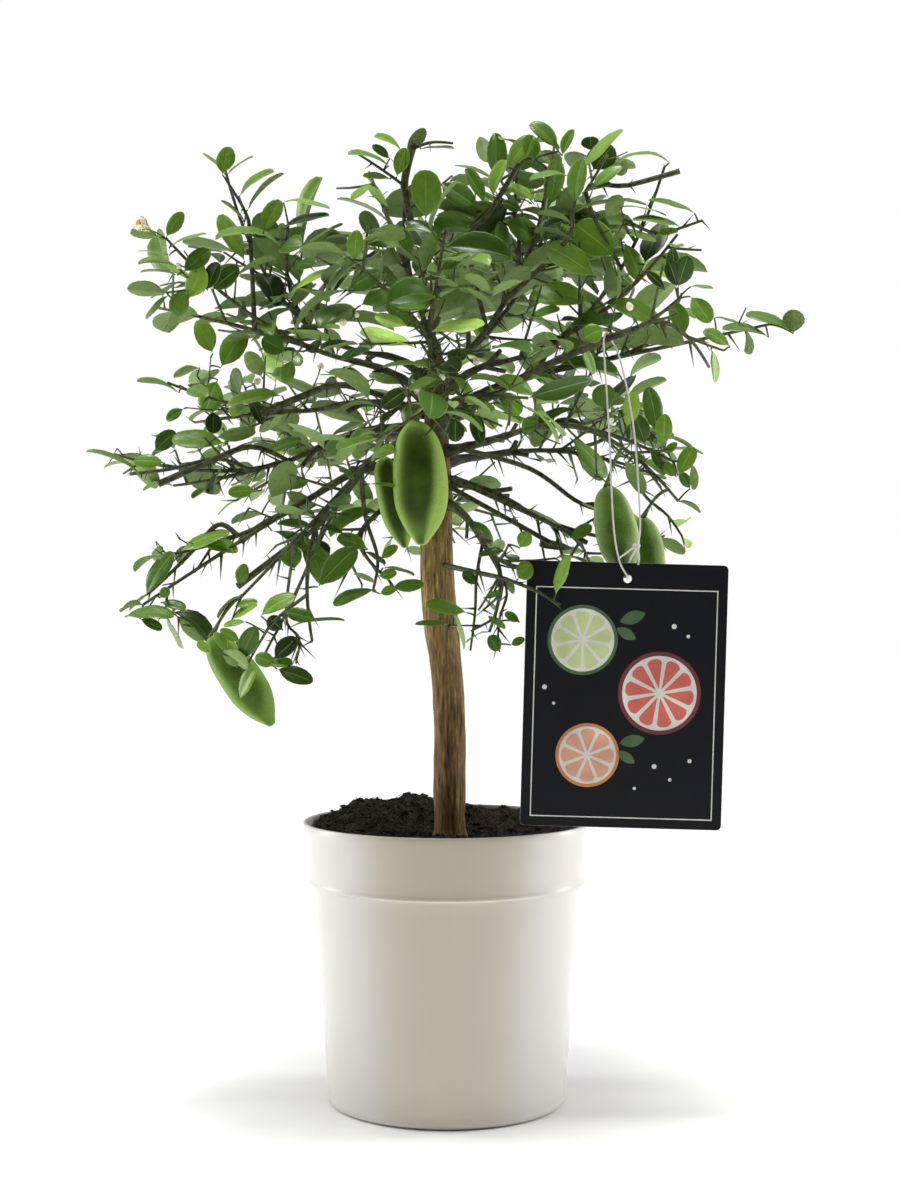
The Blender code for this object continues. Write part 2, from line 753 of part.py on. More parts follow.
def fuse(name, pieces, bodies, parts):
    """Joins closed meshes that overlap into one solid. Each time that fails, a leaf is left out."""
    best = None
    for spare in reversed(bodies):
        for solver in ("EXACT", "MANIFOLD"):
            trial = bpy.data.objects.new(name, bodies[0].data.copy())
            trial.matrix_world = bodies[0].matrix_world
            parts.objects.link(trial)
            union = trial.modifiers.new("join", "BOOLEAN")
            union.operation = "UNION"
            union.operand_type = "COLLECTION"
            union.collection = pieces
            union.solver = solver
            mesh = evaluated_mesh(trial)
            bpy.data.objects.remove(trial)
            if keep_largest_body(mesh):
                best = mesh
                break
        if best:
            break
        pieces.objects.unlink(spare)
    for piece in bodies:
        bpy.data.objects.remove(piece)
    return add_object(name, best, parts, "leaves")


def keep_largest_body(mesh):
    """Drops loose scraps, cuts the faces into triangles, and says whether the rest is closed."""
    shape = bmesh.new()
    shape.from_mesh(mesh)
    left = set(shape.verts)
    groups = []
    while left:
        group, queue = set(), [left.pop()]
        while queue:
            vertex = queue.pop()
            group.add(vertex)
            for edge in vertex.link_edges:
                other = edge.other_vert(vertex)
                if other in left:
                    left.discard(other)
                    queue.append(other)
        groups.append(group)
    groups.sort(key=len, reverse=True)
    scraps = [vertex for group in groups[1:] for vertex in group]
    bmesh.ops.delete(shape, geom=scraps, context="VERTS")
    idle = [vertex for vertex in shape.verts if len(vertex.link_edges) == 2]
    bmesh.ops.dissolve_verts(shape, verts=idle)
    bmesh.ops.triangulate(shape, faces=shape.faces)
    closed = bool(shape.faces) and all(len(edge.link_faces) == 2 for edge in shape.edges)
    shape.to_mesh(mesh)
    shape.free()
    return closed


def make_mass(mass, spaces, outline, leaf, fruit, parts, helpers):
    """Grows one mass of foliage and fuses its shoots, twigs, leaves and fruits."""
    pieces = bpy.data.collections.new(mass.name + "_pieces")
    helpers.children.link(pieces)
    lines = [shoot_points(mass, number) for number in range(len(mass.shoots))]
    twigs = side_twigs(mass, spaces)
    tubes = [(line, taper(SHOOT_RADII, len(line))) for line in lines]
    tubes += [(line, taper(TWIG_RADII, len(line))) for line in twigs]
    frames, filled = [], Filled([*lines, *twigs])
    for number, line in enumerate([*lines, *twigs]):
        rng = random.Random(mass.seed * 100 + number)
        start, spacing = (0.3, LEAF_SPACING * 1.6) if number < len(lines) else (0.35, LEAF_SPACING)
        frames += leaves_on(line, mass, spaces, rng, start, spacing, filled)
    solids = []
    for item in FRUITS:
        if item.mass != mass.name:
            continue
        top, tip = fruit_ends(item)
        down = (tip - top).normalized()
        stalk = stalk_points(lines, top, down)
        tubes.append((stalk, taper(TWIG_RADII, len(stalk))))
        turn = down.to_track_quat("-Z", "Y").to_matrix().to_4x4()
        size = Matrix.Diagonal((item.radius * MM, item.radius * MM, item.length * MM, 1))
        solids.append((fruit, Matrix.Translation(top * MM) @ turn @ size))
    curves = [
        tube(f"{mass.name}_{i}", points, radii, helpers, bevel=outline)
        for i, (points, radii) in enumerate(tubes)
    ]
    bodies = []
    for curve in curves:
        body = add_object("piece", evaluated_mesh(curve), helpers)
        bodies.append(body)
        bpy.data.objects.remove(curve)
    for data, frame in [*solids, *((leaf, frame) for frame in frames)]:
        body = add_object("piece", data, helpers)
        body.matrix_world = frame
        bodies.append(body)
    for body in bodies[1:]:
        pieces.objects.link(body)
    fuse(mass.name, pieces, bodies, parts)
    bpy.data.collections.remove(pieces)


def make_tag(parts):
    """The card: a rectangle with clipped corners and a punched hole near its top edge."""
    half_width, half_height = TAG_WIDTH / 2, TAG_HEIGHT / 2
    outline = []
    for side_x, side_y, first in ((1, 1, 0), (-1, 1, 90), (-1, -1, 180), (1, -1, 270)):
        for turn in (0, 45, 90):
            angle = math.radians(first + turn)
            outline.append(
                (
                    side_x * (half_width - TAG_CORNER) + TAG_CORNER * math.cos(angle),
                    side_y * (half_height - TAG_CORNER) + TAG_CORNER * math.sin(angle),
                )
            )
    hole_y = half_height - TAG_HOLE_DROP
    hole = [
        (TAG_HOLE_RADIUS * math.cos(a), hole_y + TAG_HOLE_RADIUS * math.sin(a))
        for a in (math.tau * i / 12 for i in range(12))
    ]
    curve = bpy.data.curves.new("tag_card", "CURVE")
    curve.dimensions = "2D"
    curve.fill_mode = "BOTH"
    curve.extrude = TAG_THICKNESS / 2 * MM
    for points in (outline, hole):
        spline = curve.splines.new("POLY")
        spline.points.add(len(points) - 1)
        for knot, (x, y) in zip(spline.points, points):
            knot.co = (x * MM, y * MM, 0, 1)
        spline.use_cyclic_u = True
    obj = add_object("tag_card", curve, parts, "tag")
    obj.location = TAG_CENTRE * MM
    obj.rotation_euler = (math.radians(90), math.radians(TAG_TURN), 0)
    return obj


def tag_hole():
    """The middle of the punched hole, with the card turned as it hangs."""
    turn = Matrix.Rotation(math.radians(TAG_TURN), 3, "Y")
    return TAG_CENTRE + turn @ Vector((0, 0, TAG_HEIGHT / 2 - TAG_HOLE_DROP))


def through(points, pieces):
    """A smooth closed curve through the points, with that many pieces between two of them."""
    made = []
    count = len(points)
    for i in range(count):
        p0, p1, p2, p3 = (points[(i + k - 1) % count] for k in range(4))
        for step in range(pieces):
            t = step / pieces
            made.append(
                0.5
                * (
                    2 * p1
                    + (p2 - p0) * t
                    + (2 * p0 - 5 * p1 + 4 * p2 - p3) * t**2
                    + (3 * p1 - p0 - 3 * p2 + p3) * t**3
                )
            )
    return made


def make_string(parts):
    """A closed loop: over the tag's bough, down both sides and through the card's hole."""
    over, radius = tag_bough_point()
    hole = tag_hole()
    aside = slope(next(b for b in BOUGHS if b.name == "bough_tag").heading + 90, 0)
    off = radius + GAP + STRING_RADIUS
    fall = over.z - hole.z
    lift = TAG_THICKNESS / 2 + GAP + STRING_RADIUS + 0.4
    points = [
        over + UP * off,
        over + aside * off + UP * off * 0.2,
        over + aside * off + Vector((3, -1, -fall * 0.4)),
        over + Vector((STRING_SIDES_APART, 3, -fall * 0.75)),
        hole + Vector((2.5, lift, TAG_HOLE_DROP + 2)),
        hole + Vector((0.6, lift, 2.5)),
        hole,
        hole + Vector((-0.6, -lift, 2.5)),
        hole + Vector((-2.5, -lift, TAG_HOLE_DROP + 2)),
        over + Vector((-STRING_SIDES_APART * 0.2, -3, -fall * 0.6)),
        over - aside * off + Vector((-1, 0, -fall * 0.3)),
        over - aside * off + UP * off * 0.2,
    ]
    path = through(points, 2)
    return tube("tag_string", path, [STRING_RADIUS] * len(path), parts, "string",
                resolution=0, loop=True)


def main():
    parts, helpers = start_scene()
    make_pot(parts)
    make_soil(parts)
    make_trunk(parts)
    for bough in BOUGHS:
        points = bough_points(bough)
        radii = taper((bough.root_radius, bough.tip_radius), len(points))
        tube(bough.name, points, radii, parts, "bough")
    outline = twig_outline(helpers)
    spaces = Spaces()
    leaf, fruit = leaf_mesh(), fruit_mesh()
    for mass in MASSES:
        make_mass(mass, spaces, outline, leaf, fruit, parts, helpers)
    make_tag(parts)
    make_string(parts)
    bpy.data.objects.remove(outline)


main()
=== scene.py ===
"""Potted finger lime tree: bark, twigs, leaves, fruit, pot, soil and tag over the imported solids.

The limbs, shoots and side twigs are worked out by the same rule and from the same values as in
the part's source, and are carried on here to finer twigs, thorns and leaves. Lengths in this
file are millimetres unless a name or a property says otherwise, and become metres as each mesh
is made. The pot stands on the origin, +Z is up and the front is towards -Y. Places in the crown
are polar: a reach from the crown's axis, a heading in degrees seen from above (0 is +X, 90 the
back, 180 -X and 270 the front) and a height.
"""

import math
import random
from functools import partial
from itertools import product
from typing import NamedTuple

import bmesh
import bpy
import numpy as np
from mathutils import Matrix, Vector, noise


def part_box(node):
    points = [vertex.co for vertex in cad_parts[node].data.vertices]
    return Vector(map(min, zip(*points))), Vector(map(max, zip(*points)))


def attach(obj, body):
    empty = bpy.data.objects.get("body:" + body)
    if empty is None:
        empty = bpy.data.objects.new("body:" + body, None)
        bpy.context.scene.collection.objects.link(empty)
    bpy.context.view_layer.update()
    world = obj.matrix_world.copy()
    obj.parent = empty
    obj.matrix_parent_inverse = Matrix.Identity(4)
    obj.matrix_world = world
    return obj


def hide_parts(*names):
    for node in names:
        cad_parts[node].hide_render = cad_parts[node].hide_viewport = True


bl_info = {
    "name": "Potted finger lime tree",
    "version": (1, 0, 0),
    "blender": (4, 5, 0),
    "location": "View3D > Sidebar > Finger lime",
    "description": "Builds the finished look of a potted finger lime tree over its packed solids",
    "category": "Object",
}

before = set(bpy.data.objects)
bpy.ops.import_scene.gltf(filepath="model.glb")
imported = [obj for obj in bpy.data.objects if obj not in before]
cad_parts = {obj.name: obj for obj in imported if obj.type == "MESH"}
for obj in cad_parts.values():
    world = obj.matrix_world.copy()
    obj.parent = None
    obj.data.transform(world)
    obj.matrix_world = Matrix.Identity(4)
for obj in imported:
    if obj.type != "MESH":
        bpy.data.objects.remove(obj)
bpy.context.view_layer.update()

MM = 0.001
GAP = 0.3
UP = Vector((0, 0, 1))
BLACK, WHITE = (0, 0, 0, 1), (1, 1, 1, 1)
GOLDEN_ANGLE = math.radians(137.5)
CAMERA_DISTANCE = 1340.0
CAMERA_HEIGHT = 349.0
# In a view 900 wide and 1200 high: the place level with the camera, and the scale
VIEW_X, VIEW_Y, VIEW_SCALE = 447.0, 574.0, 2024.0

# Pot and soil
POT_HEIGHT = 186.0
POT_RIM_RADIUS = 95.0
POT_COLLAR_HEIGHT = 40.0
POT_COLLAR_FOOT_RADIUS = 92.5
POT_SHOULDER_RADIUS = 89.0
POT_BASE_RADIUS = 78.5
POT_CORNER_RADIUS = 5.0
POT_WALL = 2.2
POT_STEPS = 144
SOIL_HEIGHT = 175.0
SOIL_SEAT_RADIUS = 24.0
SOIL_HEAP_HEIGHT = 20.0
SOIL_HEAP_PLACE = Vector((-22.0, 42.0))
SOIL_HEAP_WIDTH = 30.0
SOIL_LUMP = 3.0
CRUMBS, FIBRES = 760, 260

# Trunk: radius by height above its foot, and a lean to the left between two heights
TRUNK_FOOT_X = 2.0
TRUNK_LEAN = 9.0
TRUNK_LEAN_FROM = 240.0
TRUNK_LEAN_TO = 370.0
TRUNK_FOOT = SOIL_HEIGHT + GAP
TRUNK_RADII = (
    (0, 14.0), (4, 12.0), (14, 10.9), (55, 10.3), (100, 10.5), (150, 11.5), (195, 10.8),
    (230, 9.6), (262, 8.4), (292, 7.0), (315, 6.2),
)
CROWN_X = TRUNK_FOOT_X - TRUNK_LEAN
TRUNK_STEM_HEIGHT = 456.0
# Knots on the trunk: height, heading, width and how far each stands out
KNOTS = (
    (292, 284, 4.0, 1.5), (231, 300, 5.0, 0.9), (345, 240, 4.5, 1.1), (372, 262, 4.0, 1.6),
    (262, 200, 5.0, 1.0), (318, 120, 5.0, 1.4), (246, 60, 4.5, 1.2),
)

# Tag
TAG_WIDTH = 126.0
TAG_HEIGHT = 166.0
TAG_THICKNESS = 1.0
TAG_CORNER = 3.0
TAG_HOLE_RADIUS = 2.6
TAG_HOLE_DROP = 10.0
TAG_CENTRE = Vector((111.0, -74.0, 273.0))
TAG_TURN = 1.6
STRING_RADIUS = 0.7
STRING_SIDES_APART = 8.0
# The string is drawn in these steps, and each of its plies winds round it once in this length
STRING_STEP = 0.35
PLY_PITCH = 2.6
TAG_BEVEL = 0.12

# Crown: its height, and its left and right edges there seen from the front
CROWN_EDGES = (
    (296, -172, 64), (318, -202, 80), (331, -219, 106), (352, -209, 152), (372, -192, 164),
    (392, -172, 170), (410, -204, 178), (424, -236, 178), (438, -210, 164), (462, -188, 156),
    (478, -193, 184), (492, -172, 200), (504, -186, 240), (520, -208, 246), (532, -206, 192),
    (550, -206, 172), (568, -216, 164), (585, -204, 176), (598, -160, 166), (612, -162, 150),
    (630, -166, 160), (640, -64, 126), (653, -56, 118),
)

# Wood: radii at the root and tip of each size of twig
SOURCE_SHOOT_RADIUS = 3.0
# Under its bark a bough is this share of its solid
BOUGH_SLIMNESS = 0.7
SHOOT_RADII = (1.8, 0.9)
TWIG_RADII = (1.05, 0.7)
SPRIG_RADII = (0.75, 0.45)
SPACE_MARGIN = 1.2
LIMB_MARGIN = 1.5
BARK_STEP = 2.2
TRUNK_SIDES, BOUGH_SIDES, FRUIT_SIDES = 72, 16, 20
# The trunk's top, above its last ring: shares of that ring and heights
TRUNK_DOME = ((0.8, 1.6), (0.45, 2.9))

# Leaf: shares of the length and of the half width at each row from the petiole to the blunt tip,
# and the columns across it, with narrow ones for the rib in the middle and the margins, which are
# painted pale as a backlit rim on a slightly translucent edge
LEAF_ROWS = (
    (0.08, 0.06), (0.15, 0.34), (0.26, 0.68), (0.41, 0.93), (0.57, 1.0), (0.74, 0.93),
    (0.88, 0.71), (0.97, 0.38),
)
LEAF_COLUMNS = (-1.0, -0.945, -0.5, -0.05, 0.05, 0.5, 0.945, 1.0)
LEAF_HALF_THICKNESS = 0.17
LEAF_CLEARANCE = 3.9
# Below this height the crown is airy, and this share of the leaves grows there
AIRY_BELOW = 420.0
AIRY_SHARE = 0.5
# Near the trunk the shoots are bare: no leaves at this reach, all of them from the second
BARE_REACH = 30.0
LEAFY_REACH = 110.0
# Where the crown is open and the photo shows sky or bare wood, seen from the front: the place
# across from the trunk's foot, its height, its radius and the share of leaves that it keeps
OPEN_PLACES = (
    (-77, 630, 42, 0.0), (-119, 634, 30, 0.15), (-42, 634, 22, 0.5), (2, 634, 40, 0.08),
    (81, 632, 32, 0.7), (-160, 594, 38, 0.15), (-77, 592, 34, 0.55), (-38, 592, 28, 0.6),
    (121, 594, 32, 0.5), (163, 592, 36, 0.25), (163, 550, 34, 0.4), (205, 552, 28, 0.0),
    (-157, 510, 34, 0.45), (121, 512, 32, 0.6), (163, 514, 34, 0.5), (163, 471, 38, 0.05),
    (206, 494, 20, 0.1), (-203, 512, 26, 0.25), (-205, 540, 24, 0.3), (-91, 603, 20, 0.05),
    (-21, 512, 24, 0.1), (172, 487, 24, 0.0), (148, 483, 26, 0.0), (203, 471, 32, 0.1),
    (-157, 431, 22, 0.5), (82, 398, 30, 0.35), (42, 391, 26, 0.4), (-157, 397, 30, 0.7),
    (161, 400, 24, 0.5), (-157, 351, 34, 0.3), (-120, 358, 34, 0.4), (-30, 356, 26, 0.45),
    (44, 351, 34, 0.4), (-72, 322, 50, 0.03), (-40, 314, 34, 0.1), (36, 300, 26, 0.5),
    (-104, 266, 26, 0.0),
)

# Where boughs and thorny twigs show with few leaves, as above
BARE_PLACES = (
    (95, 498, 42, 0.5), (150, 496, 36, 0.35), (60, 478, 40, 0.9), (15, 490, 34, 0.75),
    (22, 506, 24, 0.35), (-60, 490, 40, 0.8), (-95, 470, 34, 0.4), (60, 420, 45, 0.3),
    (105, 412, 30, 0.35), (-100, 425, 32, 0.4), (-150, 400, 28, 0.45),
)

# Where the leaves are small, with the share of a full leaf's length
SMALL_LEAF_PLACES = (
    (38, 318, 48, 0.62), (60, 352, 34, 0.7), (-62, 350, 30, 0.75),
)


class Bough(NamedTuple):
    """One tapering limb, from the trunk's side to the place where its foliage starts."""

    name: str
    root_height: float
    rise: float
    reach: float
    heading: float
    height: float
    root_radius: float
    tip_radius: float


class Mass(NamedTuple):
    """Foliage on one bough: its shoots' ends, the longest side twig and the twigs a shoot has."""

    name: str
    bough: str
    shoots: tuple
    spread: float
    twigs: int
    seed: int


class Fruit(NamedTuple):
    """A fruit that hangs from a shoot, given by the place and height of its stalk end."""

    mass: str
    reach: float
    heading: float
    height: float
    lean: float
    lean_heading: float
    length: float
    radius: float


class Spray(NamedTuple):
    """A twig that stands out in the photo: the bough or mass it grows from, places along it, its
    radii, the share of it before the first leaf, and its leaves' tint.
    """

    limb: str
    places: tuple
    radii: tuple
    bare: float = 1.0
    tint: int = 0


class Leaf(NamedTuple):
    """One leaf's root, its run, the way its face looks, its size, its curves and its tint."""

    root: Vector
    along: Vector
    facing: Vector
    length: float
    width: float
    bend: float
    fold: float
    twist: float
    wave: float
    tint: int


BOUGHS = [
    Bough("bough_" + name, *sizes)
    for name, *sizes in (
        ("leader", 490, 85, 6, 170, 512, 4.6, 3.2), ("top_right", 482, 60, 22, 350, 497, 4.0, 3.0),
        ("top_back", 476, 50, 37, 50, 500, 4.2, 2.8),
        ("right_high", 471, 50, 45, 345, 488, 4.2, 2.8),
        ("right_far", 458, 30, 92, 2, 487, 4.6, 3.2),
        ("left_high", 480, 50, 42, 172, 495, 4.2, 2.8),
        ("left_up", 468, 38, 60, 201, 488, 4.2, 2.8),
        ("front_high", 474, 40, 40, 266, 486, 4.2, 2.8), ("tag", 449, 28, 146, 327, 501, 4.4, 3.0),
        ("back_high", 464, 45, 48, 92, 490, 4.2, 2.8),
        ("left_far", 444, 10, 82, 181, 430, 4.8, 3.0),
        ("left_mid", 456, 20, 81, 158, 461, 4.6, 3.0),
        ("right_mid", 430, 8, 68, 324, 441, 4.4, 2.8),
        ("right_back", 424, 10, 66, 28, 432, 4.4, 2.8),
        ("right_low", 410, -8, 56, 4, 393, 4.2, 2.6), ("left_low", 422, 5, 85, 207, 401, 4.6, 2.8),
        ("front_left", 434, 8, 82, 230, 408, 4.6, 2.8),
        ("front_right", 395, -15, 49, 308, 369, 4.2, 2.6),
        ("low_left", 402, -5, 39, 199, 390, 4.2, 2.6), ("back_low", 410, 8, 65, 92, 412, 4.4, 2.8),
        ("back_left", 437, 15, 85, 131, 440, 4.6, 2.8),
        ("front_mid", 441, 15, 60, 280, 454, 4.4, 2.8),
    )
]

MASSES = [
    Mass("leaves_" + name, "" if name == "trunk_front" else "bough_" + name, *sizes, 11 + number)
    for number, (name, *sizes) in enumerate((
        ("leader", ((20, 185, 626), (60, 140, 622)), 60, 5),
        ("top_right", ((78, 2, 632), (56, 48, 628)), 60, 5),
        ("top_back", ((126, 22, 636), (142, 56, 614)), 62, 5),
        ("right_high", ((150, 350, 612), (166, 336, 562)), 60, 6),
        ("right_far", ((220, 0, 514), (172, 14, 540)), 48, 5),
        ("left_high", ((142, 176, 622), (104, 205, 572)), 62, 6),
        ("left_up", ((178, 198, 560), (182, 187, 522)), 58, 6),
        ("front_high", ((124, 273, 556), (128, 246, 540)), 60, 5),
        ("tag", ((176, 328, 518), (182, 342, 480)), 44, 4),
        ("back_high", ((136, 105, 604), (168, 80, 568)), 62, 5),
        ("left_far", ((212, 181, 428), (176, 176, 408)), 46, 4),
        ("left_mid", ((190, 166, 480), (194, 152, 456)), 50, 4),
        ("right_mid", ((162, 338, 420), (160, 347, 396)), 46, 4),
        ("right_back", ((164, 20, 416), (176, 40, 458)), 52, 4),
        ("right_low", ((152, 8, 370), (116, 27, 360)), 44, 4),
        ("left_low", ((198, 203, 330), (184, 198, 360)), 46, 4),
        ("front_left", ((158, 222, 336), (128, 234, 308)), 44, 5),
        ("front_right", ((98, 318, 352), (58, 306, 312)), 38, 4),
        ("low_left", ((68, 212, 350), (58, 238, 346)), 36, 3),
        ("back_low", ((144, 103, 376), (156, 68, 388)), 52, 3),
        ("back_left", ((190, 140, 402), (194, 134, 488)), 52, 4),
        ("front_mid", ((138, 256, 430), (142, 293, 454)), 48, 4),
        ("trunk_front", ((62, 250, 466), (40, 205, 452)), 34, 2),
    ))
]

FRUITS = (
    Fruit("leaves_trunk_front", 59, 257, 446, 3, 0, 79, 18.0),
    Fruit("leaves_trunk_front", 46, 221, 425, 14, 0, 61, 11.0),
    Fruit("leaves_front_left", 176, 219, 311, 35, 0, 66, 13.0),
    Fruit("leaves_right_mid", 118, 337, 405, 12, 0, 60, 13.8),
    Fruit("leaves_right_mid", 136, 351, 386, 5, 0, 58, 12.0),
)
SPRAYS = [
    Spray(*row)
    for row in (
        # Upper left: the tall shoot with a leaf at its tip
        ("leaves_left_up", ((-128, -20, 567), (-131, -20, 584), (-144, -20, 606)), (1.7, 0.8)),
        # Top: the pruned stem in the middle with its cut end, and the twigs at its sides
        ("leaves_leader", ((-23, -10, 575), (-28, -10, 603), (-22, -10, 631)), (2.2, 2.7)),
        ("leaves_leader", ((-28, -10, 603), (-51, -8, 620), (-62, -5, 627)), (1.3, 0.7)),
        ("leaves_leader", ((-24, -10, 627), (-10, -14, 631), (4, -16, 630)), (1.5, 0.8)),
        ("leaves_top_right", ((14, -16, 566), (27, -20, 583), (47, -20, 616)), (1.6, 1.8)),
        ("leaves_top_right", ((47, -20, 614), (60, -22, 620), (72, -24, 623)), (1.2, 0.7)),
        ("leaves_top_right", ((76, -50, 561), (80, -50, 580), (85, -50, 604)), (1.8, 1.0), 0.3, 3),
        # Upper right: the pruned limb that points out to the right, and the long twig below it
        ("leaves_right_high", ((89, -40, 594), (116, -40, 598), (149, -40, 607)), (1.2, 1.9)),
        ("leaves_right_high", ((112, -60, 572), (133, -60, 564), (161, -60, 572)),
         (1.3, 0.9), 0.3, 2),
        # Left: pruned stubs and the long thin twig with a leaf at its tip
        ("bough_left_mid", ((-65, -30, 471), (-95, -32, 463), (-120, -32, 452)), (2.0, 2.4)),
        ("leaves_left_far", ((-128, -18, 432), (-156, -26, 421), (-186, -34, 407)), (1.5, 2.3)),
        ("leaves_left_far", ((-150, -20, 424), (-180, -26, 417), (-206, -24, 414)), (1.3, 1.2)),
        # Lower left: stubs, the twig that droops to the left and the ones that hang with leaves
        ("bough_front_left", ((-99, -40, 391), (-118, -38, 381), (-133, -36, 370)), (2.0, 2.3)),
        ("leaves_left_low", ((-145, -60, 380), (-164, -60, 360), (-188, -60, 337)),
         (1.9, 0.9), 0.3, 1),
        ("bough_front_left", ((-78, -45, 384), (-104, -45, 364), (-134, -45, 341)), (1.3, 2.3)),
        ("bough_front_left", ((-75, -40, 384), (-88, -42, 357), (-103, -44, 321)),
         (1.4, 0.9), 0.45, 1),
        ("leaves_front_left", ((-103, -44, 324), (-112, -50, 306), (-119, -52, 292)), (1.1, 0.7)),
        ("leaves_front_left",
         ((-104, -114, 321), (-111, -125, 310), (-118, -130, 297), (-125, -131, 280)), (1.2, 0.6)),
        ("leaves_front_left", ((-103, -46, 322), (-94, -52, 308), (-96, -54, 292)),
         (1.1, 0.7), 0.0, 0),
        ("bough_front_left", ((-52, -50, 386), (-44, -52, 359), (-47, -54, 338)), (1.7, 0.8)),
        # Above the big fruit: the bright young shoot
        ("bough_front_mid", ((-14, -64, 462), (-10, -78, 480), (-17, -82, 494)), (1.2, 0.8)),
        ("bough_front_mid", ((0, -62, 466), (8, -76, 484), (6, -80, 498)), (1.1, 0.7)),
        # Right of the trunk: bare straight limbs with cut ends
        ("trunk", ((5, -12, 411), (64, -35, 383), (90, -42, 369)), (1.9, 1.6)),
        ("trunk", ((6, -10, 404), (36, -18, 387), (68, -24, 369)), (1.7, 1.6)),
        ("bough_right_mid", ((55, 5, 419), (85, 4, 398), (102, 2, 391)), (1.8, 1.3), 0.7, 1),
        ("leaves_right_mid", ((129, -10, 402), (145, -12, 387), (157, -14, 369)),
         (1.3, 0.7), 0.6, 7),
        # In front of the trunk: the twig that crosses the tag's corner, and the ones that hang
        # from it
        ("trunk", ((19, -46, 350), (36, -77, 346), (54, -90, 339), (70, -94, 330)), (1.9, 0.8)),
        ("bough_front_right", ((19, -44, 347), (18, -46, 324), (15, -48, 300)), (1.2, 0.7)),
        ("bough_front_right", ((38, -46, 340), (34, -48, 322), (32, -50, 304)), (1.0, 0.6), 0.2, 2),
    )
]
